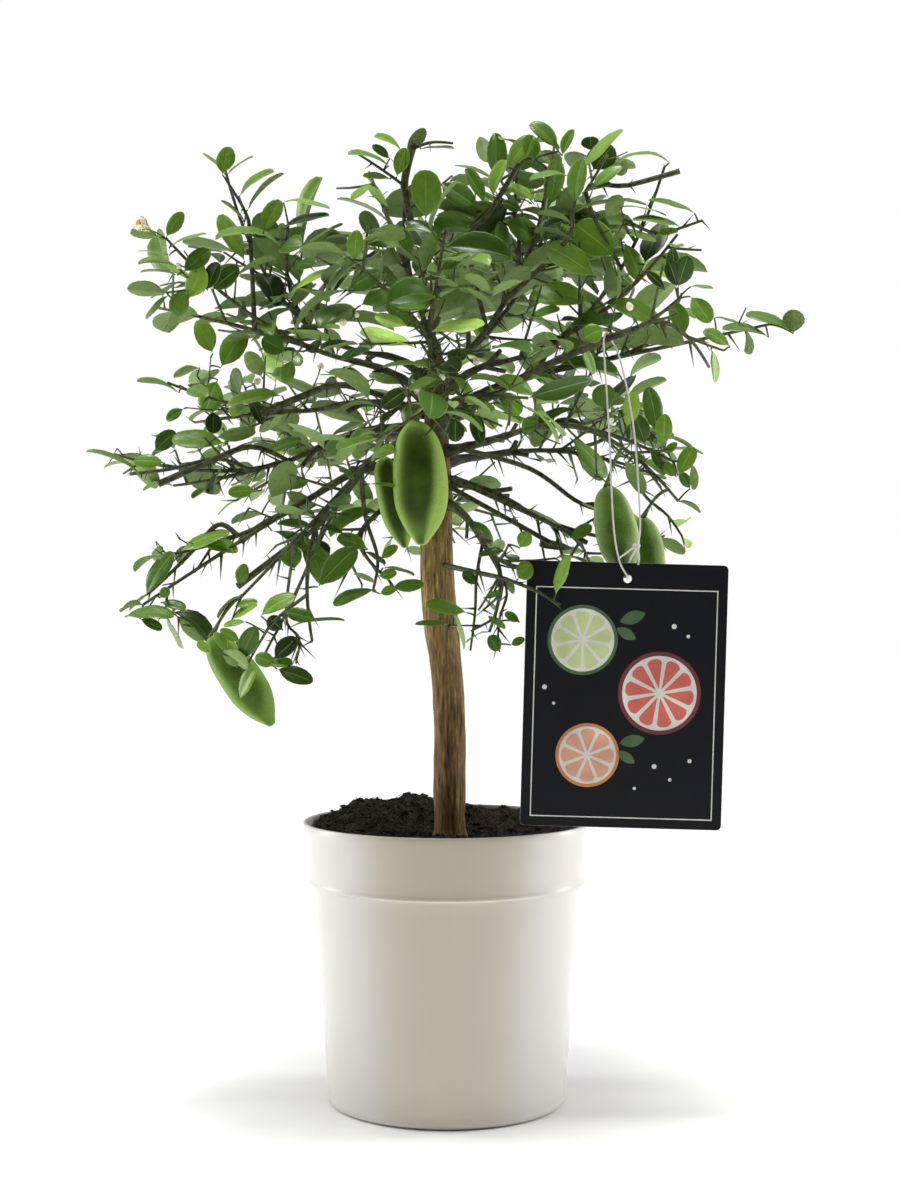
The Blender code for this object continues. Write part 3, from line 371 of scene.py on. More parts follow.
# Leaves that stand out from the front, as measured in the view: x and y of the root and of the
# tip, the width, less than 0 where the underside shows, the bend in tenths of a radian, the tint
SHOWN_LEAVES = (
    # Upper left, the tall shoot and the twigs below it
    (223, 176, 230, 148, 19, 3, 3), (225, 175, 203, 155, 4, 5, 4), (228, 176, 254, 158, 4, 4, 4),
    (240, 197, 275, 173, 12, 5, 4), (248, 211, 285, 175, 5, 5, 5), (245, 222, 221, 202, 4, 3, 3),
    (245, 262, 219, 216, 15, 4, 5), (281, 246, 216, 241, 9, 12, 4), (264, 232, 281, 201, 18, 3, 3),
    (282, 230, 330, 217, 12, 6, 1), (284, 203, 330, 210, 8, 8, 5), (167, 238, 184, 213, 14, 3, 3),
    (160, 238, 131, 234, -9, 5, 2), (170, 249, 207, 235, 6, 7, 4), (184, 273, 211, 251, 18, 4, 2),
    (189, 300, 204, 268, 22, 3, 5), (208, 291, 219, 263, 15, 3, 0), (213, 291, 240, 269, 18, 4, 1),
    (169, 296, 147, 320, 9, 6, 3), (185, 290, 178, 317, 20, 4, 3), (178, 276, 141, 273, 4, 5, 3),
    (170, 256, 138, 252, 4, 4, 4),
    # Top, round the pruned stem
    (421, 150, 454, 150, 4, 3, 3), (389, 167, 348, 156, 6, 7, 4), (401, 151, 374, 138, 8, 6, 5),
    (390, 160, 372, 147, 9, 4, 2), (397, 178, 406, 149, 14, 3, 4), (390, 180, 363, 177, 8, 5, 5),
    (373, 186, 352, 201, 8, 4, 5), (389, 210, 367, 186, 10, 4, 5), (426, 221, 425, 171, 27, 3, 3),
    (440, 184, 473, 206, 22, 4, 2), (494, 182, 454, 167, 8, 8, 3), (495, 179, 495, 134, 20, 3, 4),
    (484, 204, 465, 170, 14, 3, 3), (493, 198, 506, 161, 13, 4, 5), (508, 169, 533, 137, 18, 4, 4),
    (534, 163, 528, 136, 17, 3, 3), (534, 202, 507, 186, 11, 5, 5), (522, 212, 502, 203, 11, 4, 1),
    (504, 221, 540, 242, 22, 4, 3),
    # Middle, above the fruit
    (423, 273, 433, 231, -15, 3, 0), (412, 256, 399, 229, 13, 3, 2),
    (361, 306, 394, 290, 17, 4, 3), (349, 290, 380, 272, 20, 4, 2), (355, 262, 358, 231, 16, 3, 4),
    (408, 327, 375, 317, 13, 3, 7), (416, 348, 360, 332, 14, 4, 7), (430, 333, 485, 324, 14, 5, 7),
    (438, 379, 410, 391, 10, 4, 4), (450, 376, 470, 408, 12, 12, 5),
    (410, 388, 382, 408, 17, 3, 0), (372, 349, 341, 360, 10, 4, 2), (402, 385, 369, 376, 10, 5, 3),
    (500, 392, 520, 415, 18, 3, 4), (456, 418, 456, 442, 17, 3, 0), (522, 433, 537, 418, 14, 3, 3),
    (528, 320, 560, 310, 9, 6, 4), (370, 484, 411, 490, 5, 3, 5),
    # Upper right
    (558, 151, 530, 125, 16, 9, 3), (562, 157, 574, 131, 10, 4, 4), (584, 170, 623, 131, 15, 6, 5),
    (592, 172, 612, 147, 25, 3, 1), (590, 152, 590, 138, 16, 3, 1),
    (669, 164, 619, 163, 10, 13, 4), (568, 177, 530, 182, 8, 6, 4), (574, 205, 583, 160, 16, 4, 4),
    (592, 190, 622, 168, 14, 4, 4), (582, 194, 612, 186, 8, 5, 1), (605, 218, 622, 197, -16, 3, 4),
    (694, 214, 648, 201, 9, 6, 3), (680, 228, 632, 221, 13, 8, 4), (620, 208, 666, 217, 5, 6, 5),
    (655, 236, 678, 232, 8, 5, 5), (609, 231, 656, 242, 8, 6, 4), (615, 258, 575, 225, 33, 3, 4),
    (596, 278, 546, 247, 25, 4, 4), (591, 303, 531, 296, 25, 7, 5), (624, 243, 640, 281, 18, 4, 4),
    (675, 288, 672, 249, 16, 3, 1), (677, 288, 668, 262, 16, 3, 0), (678, 288, 688, 257, 18, 3, 1),
    (665, 290, 646, 272, 10, 4, 0), (690, 297, 710, 323, 19, 4, 4), (603, 304, 659, 326, 22, 8, 5),
    (685, 336, 672, 303, 18, 3, 3), (691, 287, 713, 289, 4, 4, 4), (580, 345, 593, 375, 10, 4, 4),
    (604, 329, 585, 338, 18, 3, 4),
    # The long limb on the right
    (793, 334, 791, 310, -20, 3, 1), (790, 332, 745, 316, 11, 9, 3),
    (768, 338, 722, 330, 11, 9, 3), (730, 347, 703, 331, 13, 4, 4), (711, 350, 715, 383, 11, 7, 5),
    (714, 318, 740, 325, 4, 5, 3),
    # Left, from the round leaf down to the stubs
    (213, 354, 197, 321, 19, 3, 5), (221, 368, 245, 333, 24, 3, 3), (218, 380, 206, 412, 25, 3, 4),
    (282, 396, 227, 408, 17, 6, 5), (213, 411, 213, 434, 15, 3, 0), (226, 444, 172, 441, 18, 5, 5),
    (216, 438, 256, 433, 13, 4, 3), (155, 452, 176, 432, 17, 4, 1), (165, 463, 134, 461, 14, 5, 4),
    (142, 478, 86, 452, 3, 9, 3), (184, 409, 167, 421, 11, 5, 3), (200, 368, 174, 378, -6, 4, 4),
    (179, 393, 137, 382, 4, 7, 3), (262, 378, 247, 352, -17, 3, 4), (286, 352, 262, 340, 20, 3, 2),
    (293, 360, 286, 384, 14, 3, 3), (264, 455, 302, 440, 12, 5, 4),
    (270, 500, 293, 462, -22, 3, 3), (256, 490, 228, 493, 13, 4, 4),
    (276, 490, 308, 482, 10, 4, 5), (285, 414, 260, 432, -8, 5, 4),
    # Lower left
    (181, 552, 230, 534, 15, 8, 4), (199, 543, 238, 552, 14, 5, 4), (146, 596, 174, 552, 17, 5, 2),
    (125, 617, 174, 617, 12, 8, 3), (140, 619, 162, 630, 8, 5, 2), (161, 603, 186, 609, 8, 6, 3),
    (160, 598, 169, 588, 10, 3, 3), (238, 585, 246, 564, 14, 3, 3), (295, 570, 288, 545, 19, 3, 3),
    (272, 531, 331, 562, 13, 7, 3), (261, 616, 296, 596, 15, 7, 4), (283, 612, 314, 619, 13, 5, 2),
    (236, 607, 258, 602, 9, 4, 4), (232, 620, 258, 605, 8, 4, 5), (241, 660, 257, 627, 18, 4, 2),
    (274, 660, 297, 638, 17, 3, 0), (283, 630, 268, 618, 14, 3, 0), (277, 669, 313, 682, 16, 5, 1),
    (276, 664, 255, 657, 14, 4, 4), (262, 664, 293, 663, 9, 4, 4), (212, 652, 197, 643, 9, 5, 5),
    (206, 630, 181, 625, 3, 5, 3), (222, 650, 248, 668, -12, 4, 4), (240, 700, 256, 668, 12, 5, 4),
    (289, 628, 345, 621, 3, 6, 4), (240, 642, 220, 630, 9, 5, 3), (228, 652, 214, 633, 9, 4, 4),
    (238, 668, 225, 651, -11, 4, 3), (246, 622, 224, 626, 6, 6, 4), (255, 648, 236, 641, 8, 4, 2),
    # Between the lower left and the trunk
    (318, 587, 357, 548, 22, 4, 2), (368, 549, 337, 538, 14, 5, 4), (381, 559, 398, 546, 9, 4, 4),
    (379, 576, 397, 573, 10, 4, 4), (383, 568, 414, 576, 4, 5, 5), (376, 590, 334, 606, 9, 7, 4),
    (376, 584, 354, 574, -6, 4, 3), (392, 588, 424, 585, 12, 5, 4), (380, 594, 397, 588, 9, 3, 4),
    (330, 515, 354, 521, 8, 4, 2),
    # In front of the trunk and at the tag's corner
    (467, 613, 426, 605, 11, 5, 5), (453, 612, 464, 650, -5, 3, 4), (477, 585, 463, 572, 10, 3, 1),
    (518, 579, 532, 564, 17, 3, 3), (556, 595, 571, 555, 12, 3, 5), (489, 616, 505, 629, 7, 4, 5),
    (520, 622, 505, 613, 8, 4, 3), (500, 652, 489, 636, 13, 3, 2), (511, 645, 525, 639, 8, 4, 3),
    (520, 548, 529, 532, 14, 3, 4),
    # Right, beside the string
    (606, 410, 600, 385, 21, 3, 3), (627, 428, 636, 392, 14, 3, 6), (657, 435, 648, 387, 19, 3, 2),
    (664, 446, 665, 414, 16, 3, 4), (645, 445, 634, 415, 18, 3, 1), (618, 408, 627, 442, 11, 3, 1),
    (664, 454, 677, 443, 8, 4, 3), (678, 476, 694, 447, 15, 4, 4), (676, 477, 664, 463, 11, 3, 3),
    (690, 489, 680, 473, 11, 3, 2), (691, 463, 694, 490, -6, 6, 4), (650, 448, 662, 470, 9, 4, 1),
    (624, 460, 644, 494, -13, 4, 3), (570, 438, 606, 478, 16, 5, 4),
    (606, 482, 612, 503, 13, 3, 1), (570, 538, 592, 526, 12, 4, 3),
)
# Flower buds seen from the front, and the half open flower
SHOWN_BUDS = ((475, 198), (417, 304), (350, 320), (633, 316), (252, 386))
SHOWN_FLOWER = (151, 231)
# Radius of a fruit by the share of its length from the stalk
FRUIT_PROFILE = (
    (0.0, 0.14), (0.02, 0.33), (0.06, 0.52), (0.13, 0.72), (0.25, 0.89), (0.42, 0.99), (0.57, 1.0),
    (0.69, 0.94), (0.79, 0.79), (0.87, 0.58), (0.93, 0.38), (0.965, 0.26), (0.99, 0.2),
    (1.0, 0.08),
)

# Greens of the leaves' upper faces, from old and shaded to young, each dealt out to whole sprays;
# the young green, light as young leaves are, is painted lighter still as painted light against the
# crown's shade
LEAF_TINTS = (
    "#2a4112", "#375516", "#476b1b", "#5a7f22", "#6b942b", "#80a936", "#97be46", "#c8f070",
)
LEAF_UNDERSIDES = ("#76904e", "#8ba65f", "#b9dd78")
LEAF_RIBS_AND_LIT_MARGINS = ("#6c8b3c", "#92b152", "#cdf08a")
YOUNG_AND_LIT = len(LEAF_TINTS) - 1


def paint(code):
    """A colour given as sRGB hex, as the linear RGBA that Blender's shaders take."""
    parts = [int(code[i : i + 2], 16) / 255 for i in (1, 3, 5)]
    linear = [c / 12.92 if c <= 0.04045 else ((c + 0.055) / 1.055) ** 2.4 for c in parts]
    return (*linear, 1.0)


def smooth(value):
    value = min(max(value, 0.0), 1.0)
    return value * value * (3 - 2 * value)


def named(things, name):
    return next(thing for thing in things if thing.name == name)


def polar(reach, heading, height):
    """The point at a reach and heading from the crown's axis."""
    angle = math.radians(heading)
    return Vector((CROWN_X + reach * math.cos(angle), reach * math.sin(angle), height))


def slope(heading, rise):
    """The unit direction with a heading and a rise above level, both in degrees."""
    angle, climb = math.radians(heading), math.radians(rise)
    level = math.cos(climb)
    return Vector((level * math.cos(angle), level * math.sin(angle), math.sin(climb)))


def bezier(start, middle, end, pieces):
    """Points along the quadratic curve with these three control points."""
    steps = [i / pieces for i in range(pieces + 1)]
    return [(1 - t) ** 2 * start + 2 * t * (1 - t) * middle + t * t * end for t in steps]


def taper(radii, count):
    """Evenly falling radii for that many points."""
    root, tip = radii
    return [root + (tip - root) * i / (count - 1) for i in range(count)]


def circle(x, y, radius, steps):
    turns = [math.tau * i / steps for i in range(steps)]
    return [(x + radius * math.cos(turn), y + radius * math.sin(turn)) for turn in turns]


def round_way(way, turn):
    """A direction square to a way, turned round it."""
    across = way.orthogonal().normalized()
    return across * math.cos(turn) + way.cross(across) * math.sin(turn)


def run_of(points):
    return sum((b - a).length for a, b in zip(points, points[1:]))


def place_on(points, share):
    """The point at a share of a line's pieces, and the line's direction there."""
    place = min(max(share, 0.0), 0.9999) * (len(points) - 1)
    piece = int(place)
    way = (points[piece + 1] - points[piece]).normalized()
    return points[piece].lerp(points[piece + 1], place - piece), way


def trunk_point(height):
    share = (height - TRUNK_LEAN_FROM) / (TRUNK_LEAN_TO - TRUNK_LEAN_FROM)
    return Vector((TRUNK_FOOT_X - TRUNK_LEAN * smooth(share), 0, height))


def trunk_radius(height):
    heights = [TRUNK_FOOT + above for above, _ in TRUNK_RADII]
    return float(np.interp(height, heights, [radius for _, radius in TRUNK_RADII]))


def through(points, pieces, closed=True):
    """A smooth curve through the points, with that many pieces between two of them."""
    made = []
    count = len(points)
    for i in range(count if closed else count - 1):
        places = [i + k - 1 for k in range(4)]
        if closed:
            p0, p1, p2, p3 = (points[k % count] for k in places)
        else:
            p0, p1, p2, p3 = (points[min(max(k, 0), count - 1)] for k in places)
        square, cube = 2 * p0 - 5 * p1 + 4 * p2 - p3, 3 * p1 - p0 - 3 * p2 + p3
        for step in range(pieces):
            t = step / pieces
            made.append(0.5 * (2 * p1 + (p2 - p0) * t + square * t**2 + cube * t**3))
    if not closed:
        made.append(points[-1].copy())
    return made


def grow(start, way, end, share, pieces=4):
    """A limb's line, which leaves its start one way and bends round to its end."""
    return bezier(start, start + way * (end - start).length * share, end, pieces)


def grow_off(seat, out, radius, way, end, share, pieces=4):
    """The same, with its start moved out from its seat until its whole foot stands clear."""
    line = grow(seat, way, end, share)
    lean = (line[1] - line[0]).normalized().dot(out)
    start = seat + out * (GAP + radius * math.sqrt(1 - min(lean * lean, 1)))
    return grow(start, way, end, share, pieces)


def bough_points(bough, pieces=4):
    """From just off the trunk's bark, or its top, to the tip, rising and then levelling out."""
    out = slope(bough.heading, 0)
    top = TRUNK_FOOT + TRUNK_RADII[-1][0]
    if bough.root_height >= top - 1:
        seat, out = trunk_point(top), UP
    else:
        seat = trunk_point(bough.root_height) + out * trunk_radius(bough.root_height)
    end = polar(bough.reach, bough.heading, bough.height)
    way = slope(bough.heading, bough.rise)
    return grow_off(seat, out, bough.root_radius, way, end, 0.5, pieces)


def shoot_points(mass, number, pieces=4):
    """The line of one of a mass's shoots. The first carries on from its bough's tip, or leaves
    the trunk, and the others branch from it.
    """
    end = polar(*mass.shoots[number])
    if number:
        first = shoot_points(mass, 0)
        onward = (first[1] - first[0]).normalized()
        return grow(first[0].lerp(first[1], 0.8), onward, end, 0.45, pieces)
    if mass.bough:
        limb = bough_points(named(BOUGHS, mass.bough))
        onward = (limb[-1] - limb[-2]).normalized()
        return grow_off(limb[-1], onward, SOURCE_SHOOT_RADIUS, onward, end, 0.45, pieces)
    heading = mass.shoots[0][1]
    out = slope(heading, 0)
    seat = trunk_point(TRUNK_STEM_HEIGHT) + out * trunk_radius(TRUNK_STEM_HEIGHT)
    return grow_off(seat, out, SOURCE_SHOOT_RADIUS, slope(heading, 20), end, 0.45, pieces)


def fruit_ends(fruit):
    """The stalk end and the tip of a fruit."""
    top = polar(fruit.reach, fruit.heading, fruit.height)
    return top, top + slope(fruit.lean_heading, fruit.lean - 90) * fruit.length


def tag_bough_point():
    """The place on the tag's bough that its string hangs over, and the bough's radius there."""
    bough = named(BOUGHS, "bough_tag")
    points = bough_points(bough)
    radii = taper((bough.root_radius, bough.tip_radius), len(points))
    return (points[-2] + points[-1]) / 2, (radii[-2] + radii[-1]) / 2


def in_tag(point):
    """Whether a point lies in or close to the card, which hangs slightly turned."""
    x, y, z = (abs(value) for value in point - TAG_CENTRE)
    return x < TAG_WIDTH / 2 + 7 and z < TAG_HEIGHT / 2 + 5 and y < TAG_THICKNESS / 2 + 3


def off_crown(point):
    """Whether a point lies beyond the crown's outline, or above its top."""
    heights, lefts, rights = zip(*CROWN_EDGES)
    left = np.interp(point.z, heights, lefts)
    right = np.interp(point.z, heights, rights)
    return point.z > heights[-1] or not left < point.x < right


def limb_lines(name):
    """The lines that a spray can grow from: a bough's, a mass's shoots' or the trunk's."""
    if name == "trunk":
        top = TRUNK_FOOT + TRUNK_RADII[-1][0]
        return [[trunk_point(height) for height in np.arange(TRUNK_FOOT, top, 10)]]
    if name.startswith("bough"):
        return [bough_points(named(BOUGHS, name), 12)]
    mass = named(MASSES, name)
    return [shoot_points(mass, number, 10) for number in range(len(mass.shoots))]


def spray_line(spray):
    """The spray's line, which leaves the limb it grows on at a slant."""
    places = [Vector(place_at) for place_at in spray.places]
    lines = limb_lines(spray.limb)
    away = (nearest_on(lines, places[0]) - places[0]).length
    root = nearest_on(lines, places[0] + (places[0] - places[1]).normalized() * away)
    return through([root, *places], 5, closed=False)


def nearest_on(lines, point):
    """The point on a set of lines that is nearest to a point."""
    best = None
    for line in lines:
        for a, b in zip(line, line[1:]):
            run = b - a
            share = min(max((point - a).dot(run) / run.length_squared, 0), 1)
            spot = a + run * share
            if best is None or (spot - point).length < (best - point).length:
                best = spot
    return best


def seen(point):
    """Where a point shows across the plane of the trunk, seen from the camera's place."""
    zoom = CAMERA_DISTANCE / (CAMERA_DISTANCE + point.y)
    return Vector((point.x * zoom, CAMERA_HEIGHT + (point.z - CAMERA_HEIGHT) * zoom))


def from_view(x, y, depth):
    """The point that shows at a place in the view, so far behind the trunk's plane."""
    share = (CAMERA_DISTANCE + depth) / VIEW_SCALE
    return Vector(((x - VIEW_X) * share, depth, CAMERA_HEIGHT - (y - VIEW_Y) * share))


def holder_at(x, y, wood):
    """The place on the wood that shows nearest to a place in the view, rather in front."""
    zoom = VIEW_SCALE / (CAMERA_DISTANCE + wood[:, 1])
    across = VIEW_X + wood[:, 0] * zoom - x
    down = VIEW_Y - (wood[:, 2] - CAMERA_HEIGHT) * zoom - y
    return Vector(wood[np.argmin(np.hypot(across, down) + 0.06 * wood[:, 1])])


def shown_leaf(row, holder, rng):
    """A leaf that runs between two places in the view and shows its width there."""
    x0, y0, x1, y1, wide, tenths, tint = row
    bend = tenths / 10
    depth = holder.y - 2
    root = from_view(x0, y0, depth)
    run = (from_view(x1, y1, depth) - root).length
    chord = from_view(x1, y1, depth + run * rng.uniform(-0.35, 0.1)) - root
    length = chord.length * (bend / 2) / math.sin(bend / 2)
    chord.normalize()
    ahead = Vector((0, -1, 0))
    ahead = (ahead - chord * ahead.dot(chord)).normalized()
    above = chord.cross(ahead)
    if above.z < 0:
        above = -above
    width = abs(wide) * (CAMERA_DISTANCE + depth) / VIEW_SCALE * 1.12
    # the brighter a leaf shows, the more it is turned up to the light
    full = max(width * 1.06, (0.43 + 0.03 * tint if abs(wide) > 3 else 0.24) * length)
    tilt = math.acos(width / full)
    facing = ahead * math.cos(tilt) * (1 if wide > 0 else -1) + above * math.sin(tilt)
    along = chord * math.cos(bend / 2) + facing * math.sin(bend / 2)
    facing = facing * math.cos(bend / 2) - chord * math.sin(bend / 2)
    fold, twist = rng.uniform(0.15, 0.5), rng.uniform(-0.2, 0.2)
    wave = rng.uniform(0, math.tau)
    return Leaf(root, along, facing, length, full, bend, fold, twist, wave, tint)


def before_fruit(point):
    """Whether a point hides a fruit from the front."""
    spot = seen(point)
    for fruit in FRUITS:
        top, tip = fruit_ends(fruit)
        if point.y > top.y:
            continue
        a, b = seen(top), seen(tip)
        run = b - a
        share = min(max((spot - a).dot(run) / run.length_squared, 0.12), 0.95)
        if (a + run * share - spot).length < fruit.radius * 0.95:
            return True
    return False


def openness(point, places=OPEN_PLACES):
    """The share of growth that is kept at a point by a table of places, and 1 outside them."""
    spot = seen(point)
    share = 1.0
    for x, z, radius, kept in places:
        away = (spot - Vector((x, z))).length / radius
        share *= kept + (1 - kept) * smooth((away - 0.75) / 0.5)
    return share


def leafiness(point):
    """The share of leaves that grows at a point: all in the outer crown, few near the trunk, low
    down and in the open places.
    """
    reach = math.hypot(point.x - CROWN_X, point.y)
    share = 0.15 + 0.85 * smooth((reach - BARE_REACH) / (LEAFY_REACH - BARE_REACH))
    share = max(share, smooth((point.z - 520) / 60))
    share *= AIRY_SHARE + (1 - AIRY_SHARE) * smooth((point.z - AIRY_BELOW + 15) / 40)
    return share * openness(point) ** 0.5 * openness(point, BARE_PLACES)


class Spaces:
    """Tells whose space a point is in, and how far it is from the limbs, fruits and tag."""

    def __init__(self):
        self.starts, self.ends, self.owners = [], [], []
        for mass in MASSES:
            for number in range(len(mass.shoots)):
                self.add(shoot_points(mass, number), mass.name)
        count = len(self.starts)
        self.radii = [0.0] * count
        trunk = [trunk_point(TRUNK_FOOT + above) for above, _ in TRUNK_RADII]
        self.add_limb(trunk, max(radius for _, radius in TRUNK_RADII[4:]))
        for bough in BOUGHS:
            self.add_limb(bough_points(bough), bough.root_radius)
        for spray in SPRAYS:
            self.add_limb(spray_line(spray)[2:], spray.radii[0])
        for fruit in FRUITS:
            top, tip = fruit_ends(fruit)
            inset = (tip - top).normalized() * fruit.radius * 0.7
            self.add_limb([top + inset, tip - inset], fruit.radius)
        over, _ = tag_bough_point()
        self.add_limb([over, Vector((TAG_CENTRE.x, over.y, TAG_CENTRE.z))], STRING_SIDES_APART)
        self.starts = np.array(self.starts)
        self.runs = np.array(self.ends) - self.starts
        self.lengths = (self.runs**2).sum(axis=1)
        self.radii = np.array(self.radii)
        self.owners = np.array(self.owners)
        self.is_shoot = np.arange(len(self.owners)) < count
        self.shown = None

    def add(self, points, owner):
        for start, end in zip(points, points[1:]):
            self.starts.append(tuple(start))
            self.ends.append(tuple(end))
            self.owners.append(owner)

    def add_limb(self, points, radius):
        before = len(self.starts)
        self.add(points, "limb")
        self.radii += [radius] * (len(self.starts) - before)

    def distances(self, points):
        """One row a point, one column a stretch of shoot or limb."""
        spots = np.array([tuple(point) for point in points])[:, None, :]
        along = ((spots - self.starts) * self.runs).sum(axis=2) / self.lengths
        nearest = self.starts + np.clip(along, 0, 1)[..., None] * self.runs
        return np.linalg.norm(spots - nearest, axis=2) - self.radii

    def holds(self, points, owner):
        """Whether all these points are in the owner's space, off the limbs and off the tag."""
        found = self.distances(points)
        own = found[:, self.owners == owner].min(axis=1)
        others = found[:, self.is_shoot & (self.owners != owner)].min(axis=1)
        limbs = found[:, ~self.is_shoot].min(axis=1)
        if (own + SPACE_MARGIN > others).any() or (limbs < LIMB_MARGIN).any():
            return False
        return not any(in_tag(point) or off_crown(point) for point in points)

    def free(self, points):
        """The same for fine growth, which may cross into a neighbour's space as it really does,
        but keeps out of the way of the fruits as they are seen from the front.
        """
        if (self.distances(points)[:, ~self.is_shoot] < 0.4).any():
            return False
        if self.hides(points) or any(before_fruit(point) for point in points):
            return False
        return not any(in_tag(point) or off_crown(point) for point in points)

    def keep_in_sight(self, leaves):
        """Keeps later growth from in front of these leaves."""
        starts = np.array([tuple(seen(leaf.root)) for leaf in leaves])
        tips = [leaf.root + leaf.along * leaf.length * 0.9 for leaf in leaves]
        runs = np.array([tuple(seen(tip)) for tip in tips]) - starts
        halves = np.array([min(leaf.width * 0.4, 6.0) for leaf in leaves])
        depths = np.array([leaf.root.y for leaf in leaves])
        falls = np.array([tip.y for tip in tips]) - depths
        self.shown = starts, runs, (runs**2).sum(axis=1) + 0.01, halves, depths, falls

    def hides(self, points):
        """Whether one of the points is in front of a leaf that is kept in sight."""
        if self.shown is None:
            return False
        starts, runs, lengths, halves, depths, falls = self.shown
        flat = np.array([tuple(seen(point)) for point in points])[:, None]
        along = np.clip(((flat - starts) * runs).sum(axis=2) / lengths, 0.1, 1)
        away = np.linalg.norm(flat - starts - along[..., None] * runs, axis=2)
        fronts = np.array([point.y for point in points])[:, None]
        return ((away < halves) & (fronts < depths + along * falls + 3)).any()


def side_twigs(mass, spaces):
    """Side twigs in golden turns round each shoot, shorter towards its end, as in the source."""
    twigs = []
    for number in range(len(mass.shoots)):
        rng = random.Random(mass.seed * 10 + number)
        line = shoot_points(mass, number)
        turn = rng.uniform(0, math.tau)
        for i in range(mass.twigs):
            share = (i + 0.5) / mass.twigs
            root, onward = place_on(line, share)
            turn += GOLDEN_ANGLE + rng.uniform(-0.3, 0.3)
            across = onward.cross(UP).normalized()
            aside = across * math.cos(turn) + across.cross(onward) * math.sin(turn)
            lean = math.radians(rng.uniform(48, 68))
            way = (onward * math.cos(lean) + aside * math.sin(lean)).normalized()
            length = mass.spread * (1 - 0.45 * share) * rng.uniform(0.75, 1.1)
            bend = UP * length * rng.uniform(0.02, 0.14)
            for fit in (1.0, 0.75, 0.5):
                reach = way * length * fit
                points = [root + reach * t + bend * (fit * t * t) for t in (0, 0.3, 0.65, 1)]
                tests = [root.lerp(points[-1], part) for part in (0.3, 0.6, 1.0)]
                if spaces.holds(tests, mass.name):
                    twigs.append(points)
                    break
    return twigs


def sprigs(parents, rng, spaces, spacing, length):
    """Finer twigs in golden turns along their parents."""
    made = []
    for line in parents:
        count = max(int(run_of(line) / spacing), 1)
        turn = rng.uniform(0, math.tau)
        for i in range(count):
            share = (i + rng.uniform(0.35, 0.75)) / count
            root, onward = place_on(line, share)
            turn += GOLDEN_ANGLE + rng.uniform(-0.4, 0.4)
            aside = round_way(onward, turn)
            lean = math.radians(rng.uniform(38, 68))
            way = (onward * math.cos(lean) + aside * math.sin(lean)).normalized()
            reach = way * length * rng.uniform(0.55, 1.2) * (1 - 0.35 * share)
            bend = (UP * 0.16 + onward * 0.1) * reach.length * rng.uniform(0.2, 1.4)
            points = [root + reach * t + bend * t * t for t in (0, 0.5, 1)]
            wanted = openness(points[2]) * (0.35 + 0.65 * leafiness(points[1]))
            if rng.random() < wanted and spaces.free(points[1:]):
                made.append(points)
    return made


class Filled:
    """Points of the leaves so far, in cells, to keep the next ones off them."""

    def __init__(self, size):
        self.size = size
        self.cells = {}

    def cell(self, point):
        return tuple(int(math.floor(value / self.size)) for value in point)

    def clear(self, tests):
        for point in tests:
            x, y, z = self.cell(point)
            for dx, dy, dz in product((-1, 0, 1), repeat=3):
                for other in self.cells.get((x + dx, y + dy, z + dz), ()):
                    if (other - point).length < self.size:
                        return False
        return True

    def add(self, tests):
        for point in tests:
            self.cells.setdefault(self.cell(point), []).append(point)


def leaves_on(points, rng, start, spacing, look, spaces, filled, tint, full=False):
    """Leaves by turns along a twig and one at its tip, each facing up and outwards. The places
    left bare come back too, with the twig's way and side there.
    """
    made, axils = [], []
    count = max(int(run_of(points) * (1 - start) / spacing), 1)
    side = 1 if rng.random() < 0.5 else -1
    spots = [start + (1 - start) * (i + rng.uniform(0, 0.5)) / count for i in range(count)]
    for share in [*spots, 1.0]:
        spot, onward = place_on(points, share)
        side = -side
        at_tip = share == 1.0
        kept = openness(spot) if full else leafiness(spot) ** (0.4 if at_tip else 1)
        if rng.random() > kept:
            axils.append((spot, onward, side))
            continue
        away = Vector((spot.x - CROWN_X, spot.y, 0)).normalized()
        for size_share in (1.0, 0.85, 0.7):
            across = onward.cross(UP).normalized() * side
            if rng.random() < 0.5:
                across = (across + UP * rng.uniform(-1.0, 1.4)).normalized()
            angle = math.radians(rng.uniform(4, 22) if at_tip else rng.uniform(40, 74))
            along = onward * math.cos(angle) + across * math.sin(angle)
            # a leaf turns its blade level, whichever way its twig runs
            along.z = along.z * 0.45 + rng.uniform(-0.3, 0.4)
            along.normalize()
            facing = UP * rng.uniform(0.6, 1.3) + away * rng.uniform(-0.1, 0.8)
            facing += Vector([rng.uniform(-0.5, 0.5) for _ in range(3)])
            if facing.cross(along).length < 0.3:
                facing = onward.cross(across)
            length = look.leaf_length / MM * size_share * rng.uniform(0.6, 1.25)
            length *= openness(spot, SMALL_LEAF_PLACES)
            length *= 0.86 + 0.24 * smooth((spot.z - 400) / 140)
            width = length * look.leaf_width_share * rng.uniform(0.86, 1.12)
            aside = facing.cross(along).normalized() * width * 0.36
            tests = [
                spot + along * length * part + aside * turn
                for part in (0.4, 0.68, 0.9)
                for turn in (-1, 0, 1)
            ]
            tests.append(spot + along * length)
            if filled.clear(tests) and spaces.free(tests):
                filled.add(tests)
                bend, fold = rng.uniform(-0.1, 1.25), rng.uniform(0.12, 0.7)
                twist, wave = rng.uniform(-0.4, 0.4), rng.uniform(0, math.tau)
                own = tint if tint == YOUNG_AND_LIT else min(max(tint + rng.choice((-1, 0, 0, 1)), 0), 6)
                made.append(Leaf(spot, along, facing, length, width, bend, fold, twist, wave, own))
                break
        axils.append((spot, onward, side))
    return made, axils


def thorn_at(spot, onward, side, rng, length):
    """A thorn beside a leaf's foot: its line from root to point, more often below the twig."""
    across = onward.cross(UP).normalized() * side
    across = (across + UP * rng.uniform(-2.2, 1.0)).normalized()
    lean = math.radians(rng.uniform(55, 84))
    way = onward * math.cos(lean) + across * math.sin(lean)
    return [spot, spot + way * length * rng.uniform(0.5, 1.3)]


